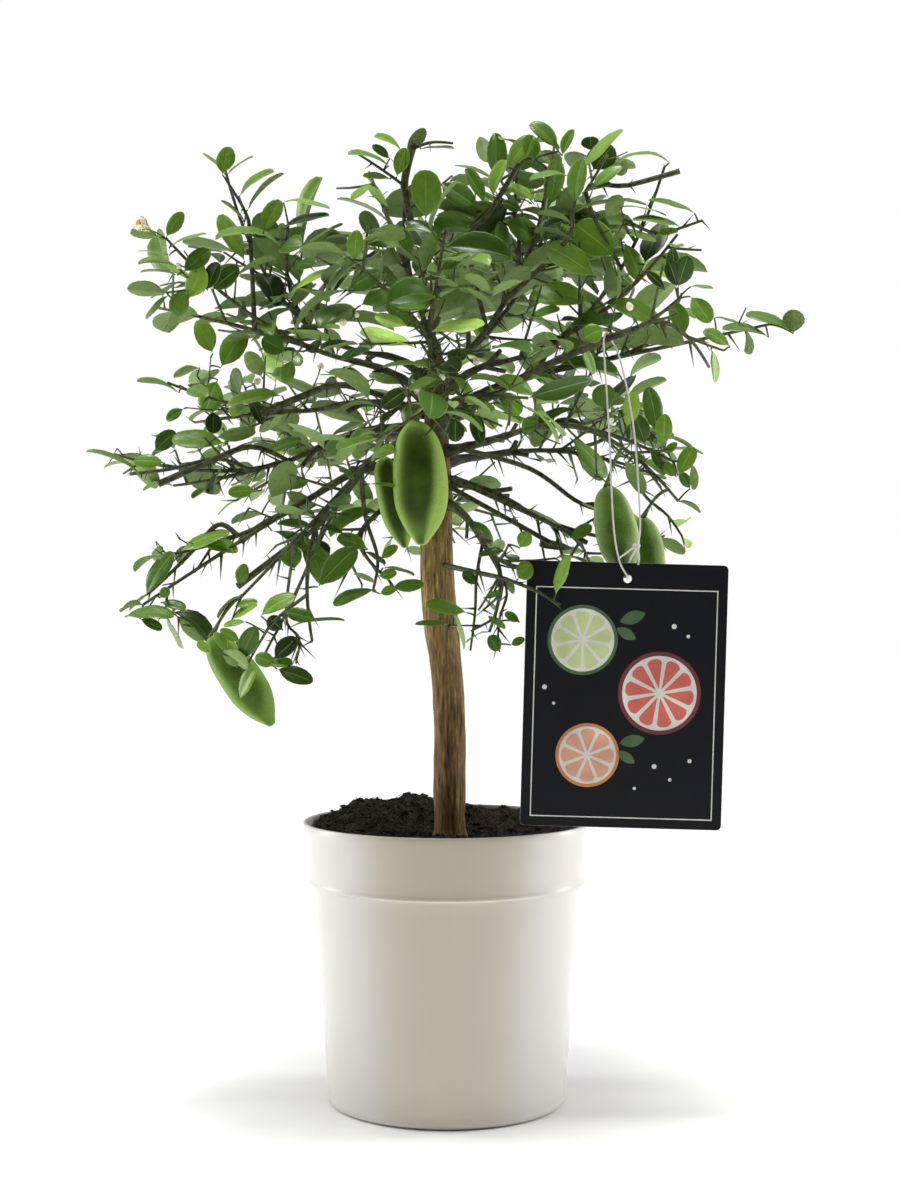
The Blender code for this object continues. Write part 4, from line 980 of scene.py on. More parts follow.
class Bunch:
    """Points, faces and finishes gathered for one joined mesh."""

    def __init__(self):
        self.points, self.faces, self.finishes, self.edges = [], [], [], []
        self.count = 0

    def add(self, points, faces, finishes, edge=None):
        """Adds a body. Finishes is one slot or one for each face; edge marks its rim points."""
        self.points.append(np.asarray(points, float).reshape(-1, 3))
        self.faces += [tuple(self.count + i for i in face) for face in faces]
        self.finishes += [finishes] * len(faces) if isinstance(finishes, int) else finishes
        size = len(self.points[-1])
        self.edges.append(np.zeros(size, bool) if edge is None else edge)
        self.count += size

    def make(self, name, materials):
        """The joined object, smooth but for the edges between two rim points."""
        mesh = bpy.data.meshes.new(name)
        mesh.from_pydata((np.vstack(self.points) * MM).tolist(), [], self.faces)
        for material in materials:
            mesh.materials.append(material)
        mesh.polygons.foreach_set("material_index", np.array(self.finishes, np.int32))
        mesh.shade_smooth()
        rim = np.concatenate(self.edges)
        if rim.any():
            ends = np.zeros(len(mesh.edges) * 2, np.int32)
            mesh.edges.foreach_get("vertices", ends)
            sharp = mesh.attributes.new("sharp_edge", "BOOLEAN", "EDGE")
            sharp.data.foreach_set("value", rim[ends.reshape(-1, 2)].all(axis=1))
        mesh.update()
        return place(name, mesh)


def place(name, data):
    obj = bpy.data.objects.new(name, data)
    bpy.context.scene.collection.objects.link(obj)
    return obj


def stand_for(obj, nodes):
    """The piece rides on the plant's one body and hides the solids."""
    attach(obj, "root")
    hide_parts(*nodes)


def wound_round(points, radii, angles):
    """For each point of a line, the points round it at its angles, carried along without twist."""
    rings, normal = [], None
    for i, (point, radius) in enumerate(zip(points, radii)):
        way = (points[min(i + 1, len(points) - 1)] - points[max(i - 1, 0)]).normalized()
        normal = way.orthogonal() if normal is None else normal - way * normal.dot(way)
        normal.normalize()
        side = way.cross(normal)
        rings.append(
            [point + (normal * math.cos(a) + side * math.sin(a)) * radius for a in angles(i)]
        )
    return rings


def rings_along(points, radii, sides):
    """Rings round a line, as rings x sides x 3."""
    angles = [math.tau * i / sides for i in range(sides)]
    rings = wound_round(points, radii, lambda _: angles)
    return np.array([[tuple(p) for p in ring] for ring in rings])


def tube_faces(rings, sides):
    """Faces of a tube of that many rings, with its two ends."""
    faces = []
    for r in range(rings - 1):
        for s in range(sides):
            a, b = r * sides + s, r * sides + (s + 1) % sides
            faces.append((a, b, b + sides, a + sides))
    faces.append(tuple(range(sides - 1, -1, -1)))
    faces.append(tuple(range((rings - 1) * sides, rings * sides)))
    return faces


def add_tube(bunch, points, radii, sides, finish=0, cut=None):
    """A tube with flat ends, the last of which can have the finish of a pruning cut."""
    rings = rings_along(points, radii, sides)
    faces = tube_faces(len(points), sides)
    finishes = [finish] * (len(faces) - 1) + [finish if cut is None else cut]
    edge = np.zeros(len(points) * sides, bool)
    edge[-sides:] = cut is not None
    bunch.add(rings, faces, finishes, edge)


def add_cone(bunch, root, tip, radius, sides, finish):
    """A thorn: full at its foot, then drawn out to a point."""
    points = [root, root.lerp(tip, 0.35), tip]
    rings = rings_along(points, (radius, radius * 0.62, 0.05), sides)
    bunch.add(rings, tube_faces(3, sides), finish)


def resampled(points, step):
    """Points every step along a line."""
    count = max(int(run_of(points) / step), 2)
    lengths = np.cumsum([0] + [(b - a).length for a, b in zip(points, points[1:])])
    spots = np.linspace(0, lengths[-1], count + 1)
    made = [np.interp(spots, lengths, [p[axis] for p in points]) for axis in range(3)]
    return [Vector(p) for p in zip(*made)]


def bark_relief(rings, centres, scale, stretch, depth, seed):
    """Moves a tube's points in and out by ridges that run along it."""
    count, sides, _ = rings.shape
    run = 0.0
    for r in range(count):
        if r:
            run += (centres[r] - centres[r - 1]).length
        for s in range(sides):
            angle = math.tau * s / sides
            spot = Vector((math.cos(angle) * scale, math.sin(angle) * scale, run / stretch))
            spot += Vector((seed * 7.3, 0, seed * 3.1))
            lift = noise.noise(spot) + 0.5 * noise.noise(spot * 2.3) + 0.25 * noise.noise(spot * 5)
            out = Vector(rings[r, s]) - centres[r]
            rings[r, s] = tuple(centres[r] + out * (1 + lift * depth / max(out.length, 0.5)))
    return rings


def leaf_pattern():
    """The unit leaf: for each point its share along, its share of the half width and its side of
    the blade, then the faces with the part each belongs to (0 upper, 1 rib and the upper face's
    margins, which are painted pale as a backlit rim, 2 underside).
    """
    last = len(LEAF_COLUMNS) - 1
    along, across, side = [0.0], [0.0], [0.0]
    layers = ([], [])
    for share, wide in LEAF_ROWS:
        upper = []
        for layer in (1.0, -1.0):
            row = []
            for column, place_across in enumerate(LEAF_COLUMNS):
                outer = column in (0, last)
                if outer and upper:
                    row.append(upper[column])
                    continue
                row.append(len(along))
                along.append(share)
                across.append(place_across * wide)
                side.append(0.0 if outer else layer)
            upper = upper or row
            layers[layer < 0].append(row)
    tip = len(along)
    along.append(1.0)
    across.append(0.0)
    side.append(0.0)
    faces, parts = [], []
    for column in range(last):
        rib, lit_margin = column == last // 2, column in (0, last - 1)
        for layer, rows in enumerate(layers):
            # the upper face's margins take the rib's pale finish, as painted backlight on the edge
            part = 1 if rib or (lit_margin and layer == 0) else layer * 2
            made = [(0, rows[0][column], rows[0][column + 1])]
            made += [
                (a[column], b[column], b[column + 1], a[column + 1])
                for a, b in zip(rows, rows[1:])
            ]
            made.append((rows[-1][column], tip, rows[-1][column + 1]))
            faces += [face if layer == 0 else face[::-1] for face in made]
            parts += [part] * len(made)
    rim = np.array([value == 0.0 for value in side])
    return [np.array(values) for values in (along, across, side)], faces, parts, rim


def leaf_shape(leaf, pattern):
    """The leaf's points: bent along its length, folded at the rib, twisted, its edge waved."""
    along, across, side = pattern
    bend = leaf.bend if abs(leaf.bend) > 0.02 else 0.02
    angle = bend * along
    x = leaf.length * np.sin(angle) / bend
    z = -leaf.length * (1 - np.cos(angle)) / bend
    # some leaves come to more of a point than others
    point = 0.1 + 0.1 * math.sin(leaf.wave * 5)
    half = across * leaf.width / 2 * (1 - point * along**3)
    off = np.abs(half)
    lift = off * math.tan(leaf.fold) - off * off / leaf.width * 0.5
    lift += np.sin(along * 9 + leaf.wave) * off * 0.045
    stalk = np.clip(1 - along / 0.16, 0, 1)
    lift += side * LEAF_HALF_THICKNESS * (1 + 2.2 * stalk)
    turn = leaf.twist * along
    y = half * np.cos(turn) - lift * np.sin(turn)
    lift = half * np.sin(turn) + lift * np.cos(turn)
    aside = leaf.facing.cross(leaf.along).normalized()
    face = leaf.along.cross(aside)
    local = np.stack([x + np.sin(angle) * lift, y, z + np.cos(angle) * lift], axis=1)
    return local @ np.array([tuple(leaf.along), tuple(aside), tuple(face)]) + tuple(leaf.root)


def add_node(material, kind, at=(), stops=(), **values):
    """Adds a node to a material or a world. Names in small letters are its properties, the others
    its inputs with _ for a space, and `at` gives inputs by their order. An input takes a value,
    or is linked to a socket or to a node's first output.
    """
    tree = material.node_tree
    made = tree.nodes.new("ShaderNode" + kind)
    for key in [key for key in values if key[0].islower()]:
        setattr(made, key, values.pop(key))
    names = [socket.name if socket.enabled else "" for socket in made.inputs]
    inputs = {names.index(key.replace("_", " ")): value for key, value in values.items()}
    for index, value in {**inputs, **dict(enumerate(at))}.items():
        if isinstance(value, bpy.types.Node):
            value = next(output for output in value.outputs if output.enabled)
        if isinstance(value, bpy.types.NodeSocket):
            tree.links.new(value, made.inputs[index])
        else:
            made.inputs[index].default_value = value
    if stops:
        ramp = made.color_ramp
        while len(ramp.elements) < len(stops):
            ramp.elements.new(0.5)
        for element, (position, colour) in zip(ramp.elements, stops):
            element.position, element.color = position, colour
    return made


def new_material(name, **values):
    """A material with only its shader and output, and plain values set on the shader. With it
    come what adds a node to it and the place on the piece that its patterns lie in.
    """
    material = bpy.data.materials.new(name)
    material.use_nodes = True
    material.node_tree.nodes.clear()
    add = partial(add_node, material)
    add("OutputMaterial", Surface=add("BsdfPrincipled", **values))
    return material, add, add("TexCoord").outputs["Object"]


def finish_with(material, colour, rough=None, bump=None):
    """Links the shader's colour, roughness and normal, and gives the material back."""
    shader = material.node_tree.nodes["Principled BSDF"]
    for key, node in (("Base Color", colour), ("Roughness", rough), ("Normal", bump)):
        if node:
            out = next(output for output in node.outputs if output.enabled)
            material.node_tree.links.new(out, shader.inputs[key])
    return material


def darker(colour, share):
    return (*[c * share for c in colour[:3]], 1.0)


def moulded_polypropylene(colour):
    # Blow moulded polypropylene: warm white and glossy, with a faintly wavy skin that softens
    # its reflections, and a few rubbed and scuffed places that look duller and greyer
    material, add, place_in = new_material("Blow moulded polypropylene", IOR=1.49)
    # waves of the skin are 40 mm apart, rub marks 9 mm and fine scratches 1.2 mm
    waves = add("TexNoise", Vector=place_in, Scale=25.0)
    streak = add("Mapping", Vector=place_in, Scale=(1.0, 1.0, 0.18))
    rubs = add("TexNoise", Vector=streak, Scale=110.0, Detail=5.0, Roughness=0.6)
    scuffs = add("TexNoise", Vector=place_in, Scale=420.0, Detail=3.0, Distortion=1.5)
    scuff_mask = add("ValToRGB", Fac=scuffs, stops=[(0.76, BLACK), (0.82, WHITE)])
    patches = add("ValToRGB", Fac=waves, stops=[(0.58, BLACK), (0.7, WHITE)])
    marks = add("Math", at=(scuff_mask, patches), operation="MULTIPLY")
    tone = add("ValToRGB", Fac=rubs, stops=[(0.3, darker(colour, 0.985)), (0.65, colour)])
    # painted light makes the wall lighter towards the foot, against the shadow round the pot's
    # bottom, and the collar is darker and warmer
    height = add("SeparateXYZ", Vector=place_in).outputs["Z"]
    up_wall = add("MapRange", Value=height, From_Max=POT_HEIGHT * MM)
    foot, collar = (1.2, 1.2, 1.21, 1), (0.87, 0.865, 0.82, 1)
    stops = [(0.02, foot), (0.3, darker(WHITE, 1.02)), (0.775, WHITE), (0.8, collar)]
    painted_foot_light_and_collar_tone = add("ValToRGB", Fac=up_wall, stops=stops)
    tone_and_painted_foot_light = add("Mix", Factor=1.0, A=tone, B=painted_foot_light_and_collar_tone, data_type="RGBA", blend_type="MULTIPLY")
    # painted reflection of the bright studio: the plastic, a little translucent, is whiter at a
    # slant and warm looked straight into
    slant = add("LayerWeight", Blend=0.5).outputs["Facing"]
    painted_slant_reflection = add("MapRange", Value=slant, From_Max=0.34, interpolation_type="SMOOTHSTEP")
    depth = add("Mix", Factor=painted_slant_reflection, A=tone_and_painted_foot_light, B=paint("#d7d5d0"), data_type="RGBA")
    shade = add("Mix", Factor=marks, A=depth, B=darker(colour, 0.55), data_type="RGBA")
    gloss = add("MapRange", Value=rubs, To_Min=0.22, To_Max=0.28)
    skin = add("Bump", Height=waves, Strength=0.12, Distance=0.004)
    grain = add("Bump", Height=scuffs, Strength=0.05, Distance=0.0004, Normal=skin)
    return finish_with(material, shade, gloss, grain)


def damp_peat(name, dark, light, roughness):
    # Milled sphagnum peat, damp: near black brown with paler fibres, and no shine. Weathered
    # cut wood, soft and fibrous too, is made the same way in its own colours.
    material, add, place_in = new_material(name, IOR=1.4, Specular_IOR_Level=0.25)
    # clods are 5 mm apart, and fibres are drawn 0.9 mm wide, twice their real width, to show
    clods = add("TexNoise", Vector=place_in, Scale=200.0, Detail=6.0)
    fibres = add("TexWave", Vector=place_in, Scale=260.0, Distortion=28.0, Detail=4.0,
                 Detail_Scale=1.6).outputs["Fac"]
    both = add("Math", at=(clods, fibres), operation="MULTIPLY")
    stops = [(0.19, dark), (0.33, darker(light, 0.18)), (0.47, light)]
    tone = add("ValToRGB", Fac=both, stops=stops)
    bump = add("Bump", Height=both, Strength=0.9, Distance=0.0012)
    rough = add("MapRange", Value=clods, To_Min=roughness - 0.15, To_Max=roughness + 0.1)
    return finish_with(material, tone, rough, bump)


def trunk_bark(colour):
    # Bark of a young citrus trunk: thin and dry, grey brown, with fine ridges up and down it, dark
    # furrows, greener halfway up and brighter there as painted light, and darker and redder higher
    # up as painted shade where the crown shades it
    material, add, place_in = new_material("Young citrus bark", IOR=1.45, Specular_IOR_Level=0.3)
    # ridges are 1.6 mm apart and about 14 mm long
    stretched = add("Mapping", Vector=place_in, Scale=(1.0, 1.0, 0.11))
    ridges = add("TexNoise", Vector=stretched, Scale=620.0, Detail=7.0, Roughness=0.62)
    broad = add("TexNoise", Vector=stretched, Scale=150.0, Detail=3.0)
    cracks = add("TexNoise", Vector=place_in, Scale=330.0, Detail=5.0)
    shares = (0.34, 0.22), (0.46, 0.75), (0.56, 1.0), (0.7, 2.1)
    stops = [(position, darker(colour, share)) for position, share in shares]
    tone = add("ValToRGB", Fac=ridges, stops=stops)
    stops = [(0.34, (0.76, 0.74, 0.7, 1)), (0.6, (1.08, 1.07, 1.04, 1))]
    streak = add("ValToRGB", Fac=broad, stops=stops)
    streaked = add("Mix", Factor=0.85, A=tone, B=streak, data_type="RGBA", blend_type="MULTIPLY")
    # painted light: halfway up, the bark is brighter, and greener too
    height = add("SeparateXYZ", Vector=place_in).outputs["Z"]
    lit = add("MapRange", Value=height, From_Min=0.25, From_Max=0.33)
    greener_with_painted_light = add("Mix", Factor=lit, A=streaked, B=(1.32, 1.42, 1.3, 1.0), data_type="RGBA",
                  blend_type="MULTIPLY")
    # painted shade under the crown: higher up, the bark is darker and redder
    shaded = add("MapRange", Value=height, From_Min=0.39, From_Max=0.45, To_Max=0.65)
    with_painted_crown_shade = add("Mix", Factor=shaded, A=greener_with_painted_light, B=paint("#4f3a2b"), data_type="RGBA")
    rough = add("MapRange", Value=cracks, To_Min=0.62, To_Max=0.9)
    bump = add("Bump", Height=ridges, Strength=0.8, Distance=0.001)
    fine = add("Bump", Height=cracks, Strength=0.4, Distance=0.0005, Normal=bump)
    return finish_with(material, with_painted_crown_shade, rough, fine)


def limb_bark(name, dark, light, scale, roughness):
    # Skin of citrus limbs and twigs: dark and slightly waxy, brown on old wood and green on
    # young wood, flecked with paler corky spots
    material, add, place_in = new_material(name, IOR=1.46, Specular_IOR_Level=0.4)
    patches = add("TexNoise", Vector=place_in, Scale=scale, Detail=6.0)
    # corky spots are about 1.1 mm apart
    spots = add("TexVoronoi", Vector=place_in, Scale=900.0)
    stops = [(0.34, dark), (0.5, darker(light, 0.55)), (0.68, light)]
    tone = add("ValToRGB", Fac=patches, stops=stops)
    fleck = add("MapRange", Value=spots, From_Min=0.1, From_Max=0.3, To_Min=0.35, To_Max=0.0)
    flecked = add("Mix", Factor=fleck, A=tone, B=paint("#9a9070"), data_type="RGBA")
    rough = add("MapRange", Value=patches, To_Min=roughness - 0.12, To_Max=roughness + 0.15)
    bump = add("Bump", Height=patches, Strength=0.5, Distance=0.0006)
    return finish_with(material, flecked, rough, bump)


def leaf_skin(name, code, roughness, relief):
    # Living citrus leaf: a waxy cuticle that shines softly above and is duller below, over
    # flesh whose green shifts a little from cell patch to cell patch
    material, add, place_in = new_material(name, IOR=1.45, Specular_IOR_Level=0.45)
    # patches between the veins are 3.5 mm across, and oil glands are drawn 0.9 mm apart,
    # about twice as far as they are, to show
    patches = add("TexNoise", Vector=place_in, Scale=280.0, Detail=4.0)
    glands = add("TexVoronoi", Vector=place_in, Scale=1100.0)
    shares = (0.32, 0.88), (0.52, 1.0), (0.72, 1.14)
    stops = [(position, darker(paint(code), share)) for position, share in shares]
    tone = add("ValToRGB", Fac=patches, stops=stops)
    gloss = add("MapRange", Value=patches, To_Min=roughness - 0.07, To_Max=roughness + 0.09)
    veins = add("Bump", Height=patches, Strength=relief, Distance=0.0008)
    dots = add("Bump", Height=glands, Strength=relief * 0.25, Distance=0.0003, Normal=veins)
    return finish_with(material, tone, gloss, dots)


def lime_peel(name, colour, painted_light_colour):
    # Finger lime peel: thin and waxy, green with yellower and faintly red clouds, set all over
    # with oil glands, each a small dark pit in the shine
    material, add, place_in = new_material(
        name, IOR=1.46, Specular_IOR_Level=0.15, Coat_Weight=0.03, Coat_Roughness=0.25
    )
    # clouds are 14 mm across and glands 1.5 mm apart
    clouds = add("TexNoise", Vector=place_in, Scale=70.0, Detail=4.0)
    blush = add("TexNoise", Vector=place_in, Scale=38.0, Detail=2.0)
    glands = add("TexVoronoi", Vector=place_in, Scale=660.0)
    stops = [(0.3, darker(colour, 0.6)), (0.55, colour), (0.78, darker(colour, 1.7))]
    tone = add("ValToRGB", Fac=clouds, stops=stops)
    # painted rim light: the peel, which is a little translucent, is painted paler and yellower at a
    # slant
    slant = add("LayerWeight", Blend=0.5).outputs["Facing"]
    painted_rim_light = add("MapRange", Value=slant, From_Max=0.66, interpolation_type="SMOOTHSTEP")
    # painted light: the side turned to the right and below is paler still
    faces = add("NewGeometry").outputs["Normal"]
    toward_painted_light = add("VectorMath", at=(faces, (0.88, 0.0, -0.42)), operation="DOT_PRODUCT")
    painted_side_light = add("MapRange", Value=toward_painted_light, From_Min=0.18, From_Max=0.72, To_Max=0.8,
                interpolation_type="SMOOTHSTEP")
    painted_light_share = add("Math", at=(painted_rim_light, painted_side_light), operation="MAXIMUM")
    rounded = add("Mix", Factor=painted_light_share, A=tone, B=painted_light_colour, data_type="RGBA")
    reddening = add("MapRange", Value=blush, From_Min=0.66, From_Max=0.85, To_Max=0.3)
    blushed = add("Mix", Factor=reddening, A=rounded, B=paint("#8d7a48"), data_type="RGBA")
    pit = add("MapRange", Value=glands, From_Min=0.05, From_Max=0.4, To_Min=0.32, To_Max=0.0)
    pitted = add("Mix", Factor=pit, A=blushed, B=paint("#2f4716"), data_type="RGBA")
    bump = add("Bump", Height=glands, Strength=0.45, Distance=0.0005)
    rough = add("MapRange", Value=clouds, To_Min=0.42, To_Max=0.6)
    return finish_with(material, pitted, rough, bump)


def printed_card(name, colour, roughness, gloss=0.45):
    # Coated card with an ink print under a thin satin varnish: fine paper tooth, and faint
    # handling marks in the shine
    material, add, place_in = new_material(name, IOR=1.5, Specular_IOR_Level=gloss)
    # paper tooth is 0.6 mm and handling marks 20 mm
    tooth = add("TexNoise", Vector=place_in, Scale=1600.0, Detail=3.0)
    marks = add("TexNoise", Vector=place_in, Scale=50.0, Detail=5.0)
    stops = [(0.35, darker(colour, 0.86)), (0.65, darker(colour, 1.12))]
    tone = add("ValToRGB", Fac=marks, stops=stops)
    satin = add("MapRange", Value=marks, To_Min=roughness - 0.08, To_Max=roughness + 0.1)
    bump = add("Bump", Height=tooth, Strength=0.12, Distance=0.0002)
    return finish_with(material, tone, satin, bump)


def spun_cotton(colour):
    # Bleached cotton twine: soft, matt, with fine loose fibres that give it a pale edge
    material, add, place_in = new_material(
        "Spun cotton twine", IOR=1.5, Specular_IOR_Level=0.2, Sheen_Weight=0.35
    )
    # fibres are drawn 0.25 mm apart, about ten times as coarse as they are, to show
    fibres = add("TexNoise", Vector=place_in, Scale=4000.0, Detail=3.0)
    tone = add("ValToRGB", Fac=fibres, stops=[(0.3, darker(colour, 0.8)), (0.7, colour)])
    rough = add("MapRange", Value=fibres, To_Min=0.75, To_Max=0.95)
    bump = add("Bump", Height=fibres, Strength=0.6, Distance=0.0001)
    return finish_with(material, tone, rough, bump)


def studio_paper(colour):
    # Seamless photographic background paper: white and matt
    material, add, place_in = new_material("Seamless background paper", Roughness=0.9, IOR=1.5)
    fibre = add("TexNoise", Vector=place_in, Scale=300.0)
    tone = add("ValToRGB", Fac=fibre, stops=[(0.3, darker(colour, 0.99)), (0.7, colour)])
    return finish_with(material, tone)


# What the colour settings share besides their subtype
RGBA = {"size": 4, "min": 0.0, "max": 1.0}


class StageSettings(bpy.types.PropertyGroup):
    floor_colour: bpy.props.FloatVectorProperty(
        name="Floor", description="Colour of the background paper",
        default=paint("#f6f6f5"), subtype="COLOR", **RGBA,
    )
    surround: bpy.props.FloatProperty(
        name="Surround", description="Brightness of the white studio", default=0.5, min=0
    )
    front: bpy.props.FloatProperty(
        name="Front", description="Brightness of the darker side behind the camera",
        default=0.05, min=0,
    )
    camera_distance: bpy.props.FloatProperty(
        name="Camera distance", description="From the trunk's axis to the camera",
        default=CAMERA_DISTANCE * MM, unit="LENGTH",
    )
    camera_height: bpy.props.FloatProperty(
        name="Camera height", description="Above the floor",
        default=CAMERA_HEIGHT * MM, unit="LENGTH",
    )


class PotSettings(bpy.types.PropertyGroup):
    plastic_colour: bpy.props.FloatVectorProperty(
        name="Plastic", description="Colour of the pot",
        default=paint("#c9c0ae"), subtype="COLOR", **RGBA,
    )
    rim_radius: bpy.props.FloatProperty(
        name="Rim radius", description="Outside radius of the pot's rim",
        default=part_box("pot")[1].x, unit="LENGTH",
    )
    height: bpy.props.FloatProperty(
        name="Height", description="From the underside to the rim",
        default=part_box("pot")[1].z, unit="LENGTH",
    )
    peat_colour: bpy.props.FloatVectorProperty(
        name="Peat", description="Colour of the dark clods",
        default=paint("#080604"), subtype="COLOR", **RGBA,
    )


class WoodSettings(bpy.types.PropertyGroup):
    trunk_colour: bpy.props.FloatVectorProperty(
        name="Trunk", description="Colour of the trunk's bark",
        default=paint("#826843"), subtype="COLOR", **RGBA,
    )
    limb_colour: bpy.props.FloatVectorProperty(
        name="Limbs", description="Colour of the boughs' skin",
        default=paint("#5d5f43"), subtype="COLOR", **RGBA,
    )
    bark_depth: bpy.props.FloatProperty(
        name="Bark relief", description="How far the trunk's ridges stand out",
        default=0.00045, precision=5, unit="LENGTH",
    )


class FoliageSettings(bpy.types.PropertyGroup):
    leaf_length: bpy.props.FloatProperty(
        name="Leaf length", description="Mean length of a full leaf with its petiole",
        default=0.037, unit="LENGTH",
    )
    leaf_width_share: bpy.props.FloatProperty(
        name="Leaf width", description="As a share of its length", default=0.47, min=0.2, max=0.9
    )
    leaf_spacing: bpy.props.FloatProperty(
        name="Leaf spacing", description="Between leaves along a twig",
        default=0.0079, precision=4, unit="LENGTH",
    )
    thorn_length: bpy.props.FloatProperty(
        name="Thorn length", description="Mean length of a thorn", default=0.012, unit="LENGTH"
    )
    twig_colour: bpy.props.FloatVectorProperty(
        name="Twigs", description="Colour of the green twigs",
        default=paint("#586c33"), subtype="COLOR", **RGBA,
    )


class FruitSettings(bpy.types.PropertyGroup):
    peel_colour: bpy.props.FloatVectorProperty(
        name="Peel", description="Colour of the fruit",
        default=paint("#334a0b"), subtype="COLOR", **RGBA,
    )


class TagSettings(bpy.types.PropertyGroup):
    card_colour: bpy.props.FloatVectorProperty(
        name="Card", description="Ink that covers the card",
        default=paint("#080a12"), subtype="COLOR", **RGBA,
    )
    string_colour: bpy.props.FloatVectorProperty(
        name="String", description="Colour of the cotton",
        default=paint("#eceae4"), subtype="COLOR", **RGBA,
    )


class FINGER_LIME_OT_stage(bpy.types.Operator):
    """Set the background paper, the soft white surround and the camera"""

    bl_idname = "finger_lime.stage"
    bl_label = "Set the stage"

    def execute(self, context):
        look = context.scene.lime_stage
        paper = bmesh.new()
        bmesh.ops.create_grid(paper, x_segments=12, y_segments=12, size=6.0)
        mesh = bpy.data.meshes.new("floor")
        paper.to_mesh(mesh)
        paper.free()
        mesh.materials.append(studio_paper(tuple(look.floor_colour)))
        place("floor", mesh)
        self.light(context.scene, look)
        camera = bpy.data.cameras.new("camera")
        camera.lens = 60.72
        camera.sensor_width = 36.0
        shot = place("camera", camera)
        shot.location = (0.002, -look.camera_distance, look.camera_height)
        shot.rotation_euler = (math.radians(90 - 0.736), 0, 0)
        context.scene.camera = shot
        context.scene.view_settings.view_transform = "Standard"
        return {"FINISHED"}

    def light(self, scene, look):
        """A white studio that is darker and warmer behind the camera, and two soft side lights."""
        scene.world = bpy.data.worlds.new("white studio")
        scene.world.use_nodes = True
        scene.world.node_tree.nodes.clear()
        add = partial(add_node, scene.world)
        ways = add("SeparateXYZ", Vector=add("TexCoord").outputs["Generated"])
        ahead, above = (
            add("MapRange", Value=ways.outputs[axis], From_Min=low, From_Max=high,
                interpolation_type="SMOOTHSTEP")
            for axis, low, high in (("Y", -0.6, 0.45), ("Z", 0.4, 0.9))
        )
        lit_share = add("Math", at=(ahead, above), operation="MAXIMUM")
        front = (look.front, look.front * 0.84, look.front * 0.6, 1)
        side = (look.surround, look.surround, look.surround, 1)
        shade = add("Mix", Factor=lit_share, A=front, B=side, data_type="RGBA")
        to_camera = add("LightPath").outputs["Is Camera Ray"]
        lit, white = add("Background", Color=shade), add("Background", Color=WHITE)
        add("OutputWorld", Surface=add("MixShader", at=(to_camera, lit, white)))
        for name, x, energy in (("left", -1.5, 15.0), ("right", 1.5, 16.0)):
            lamp = bpy.data.lights.new(f"softbox_{name}", "AREA")
            lamp.shape = "RECTANGLE"
            lamp.size, lamp.size_y = 0.55, 1.4
            lamp.energy = energy
            box = place(f"softbox_{name}", lamp)
            box.location = (x, 0.42, 0.7)
            aim = Vector((0, 0, 0.4)) - box.location
            box.rotation_euler = aim.to_track_quat("-Z", "Y").to_euler()
        overhead = bpy.data.lights.new("overhead", "SUN")
        overhead.energy = 2.65
        overhead.angle = math.radians(20)
        lamp = place("overhead", overhead)
        lamp.rotation_euler = Vector((0.05, 0.06, -1.0)).to_track_quat("-Z", "Y").to_euler()


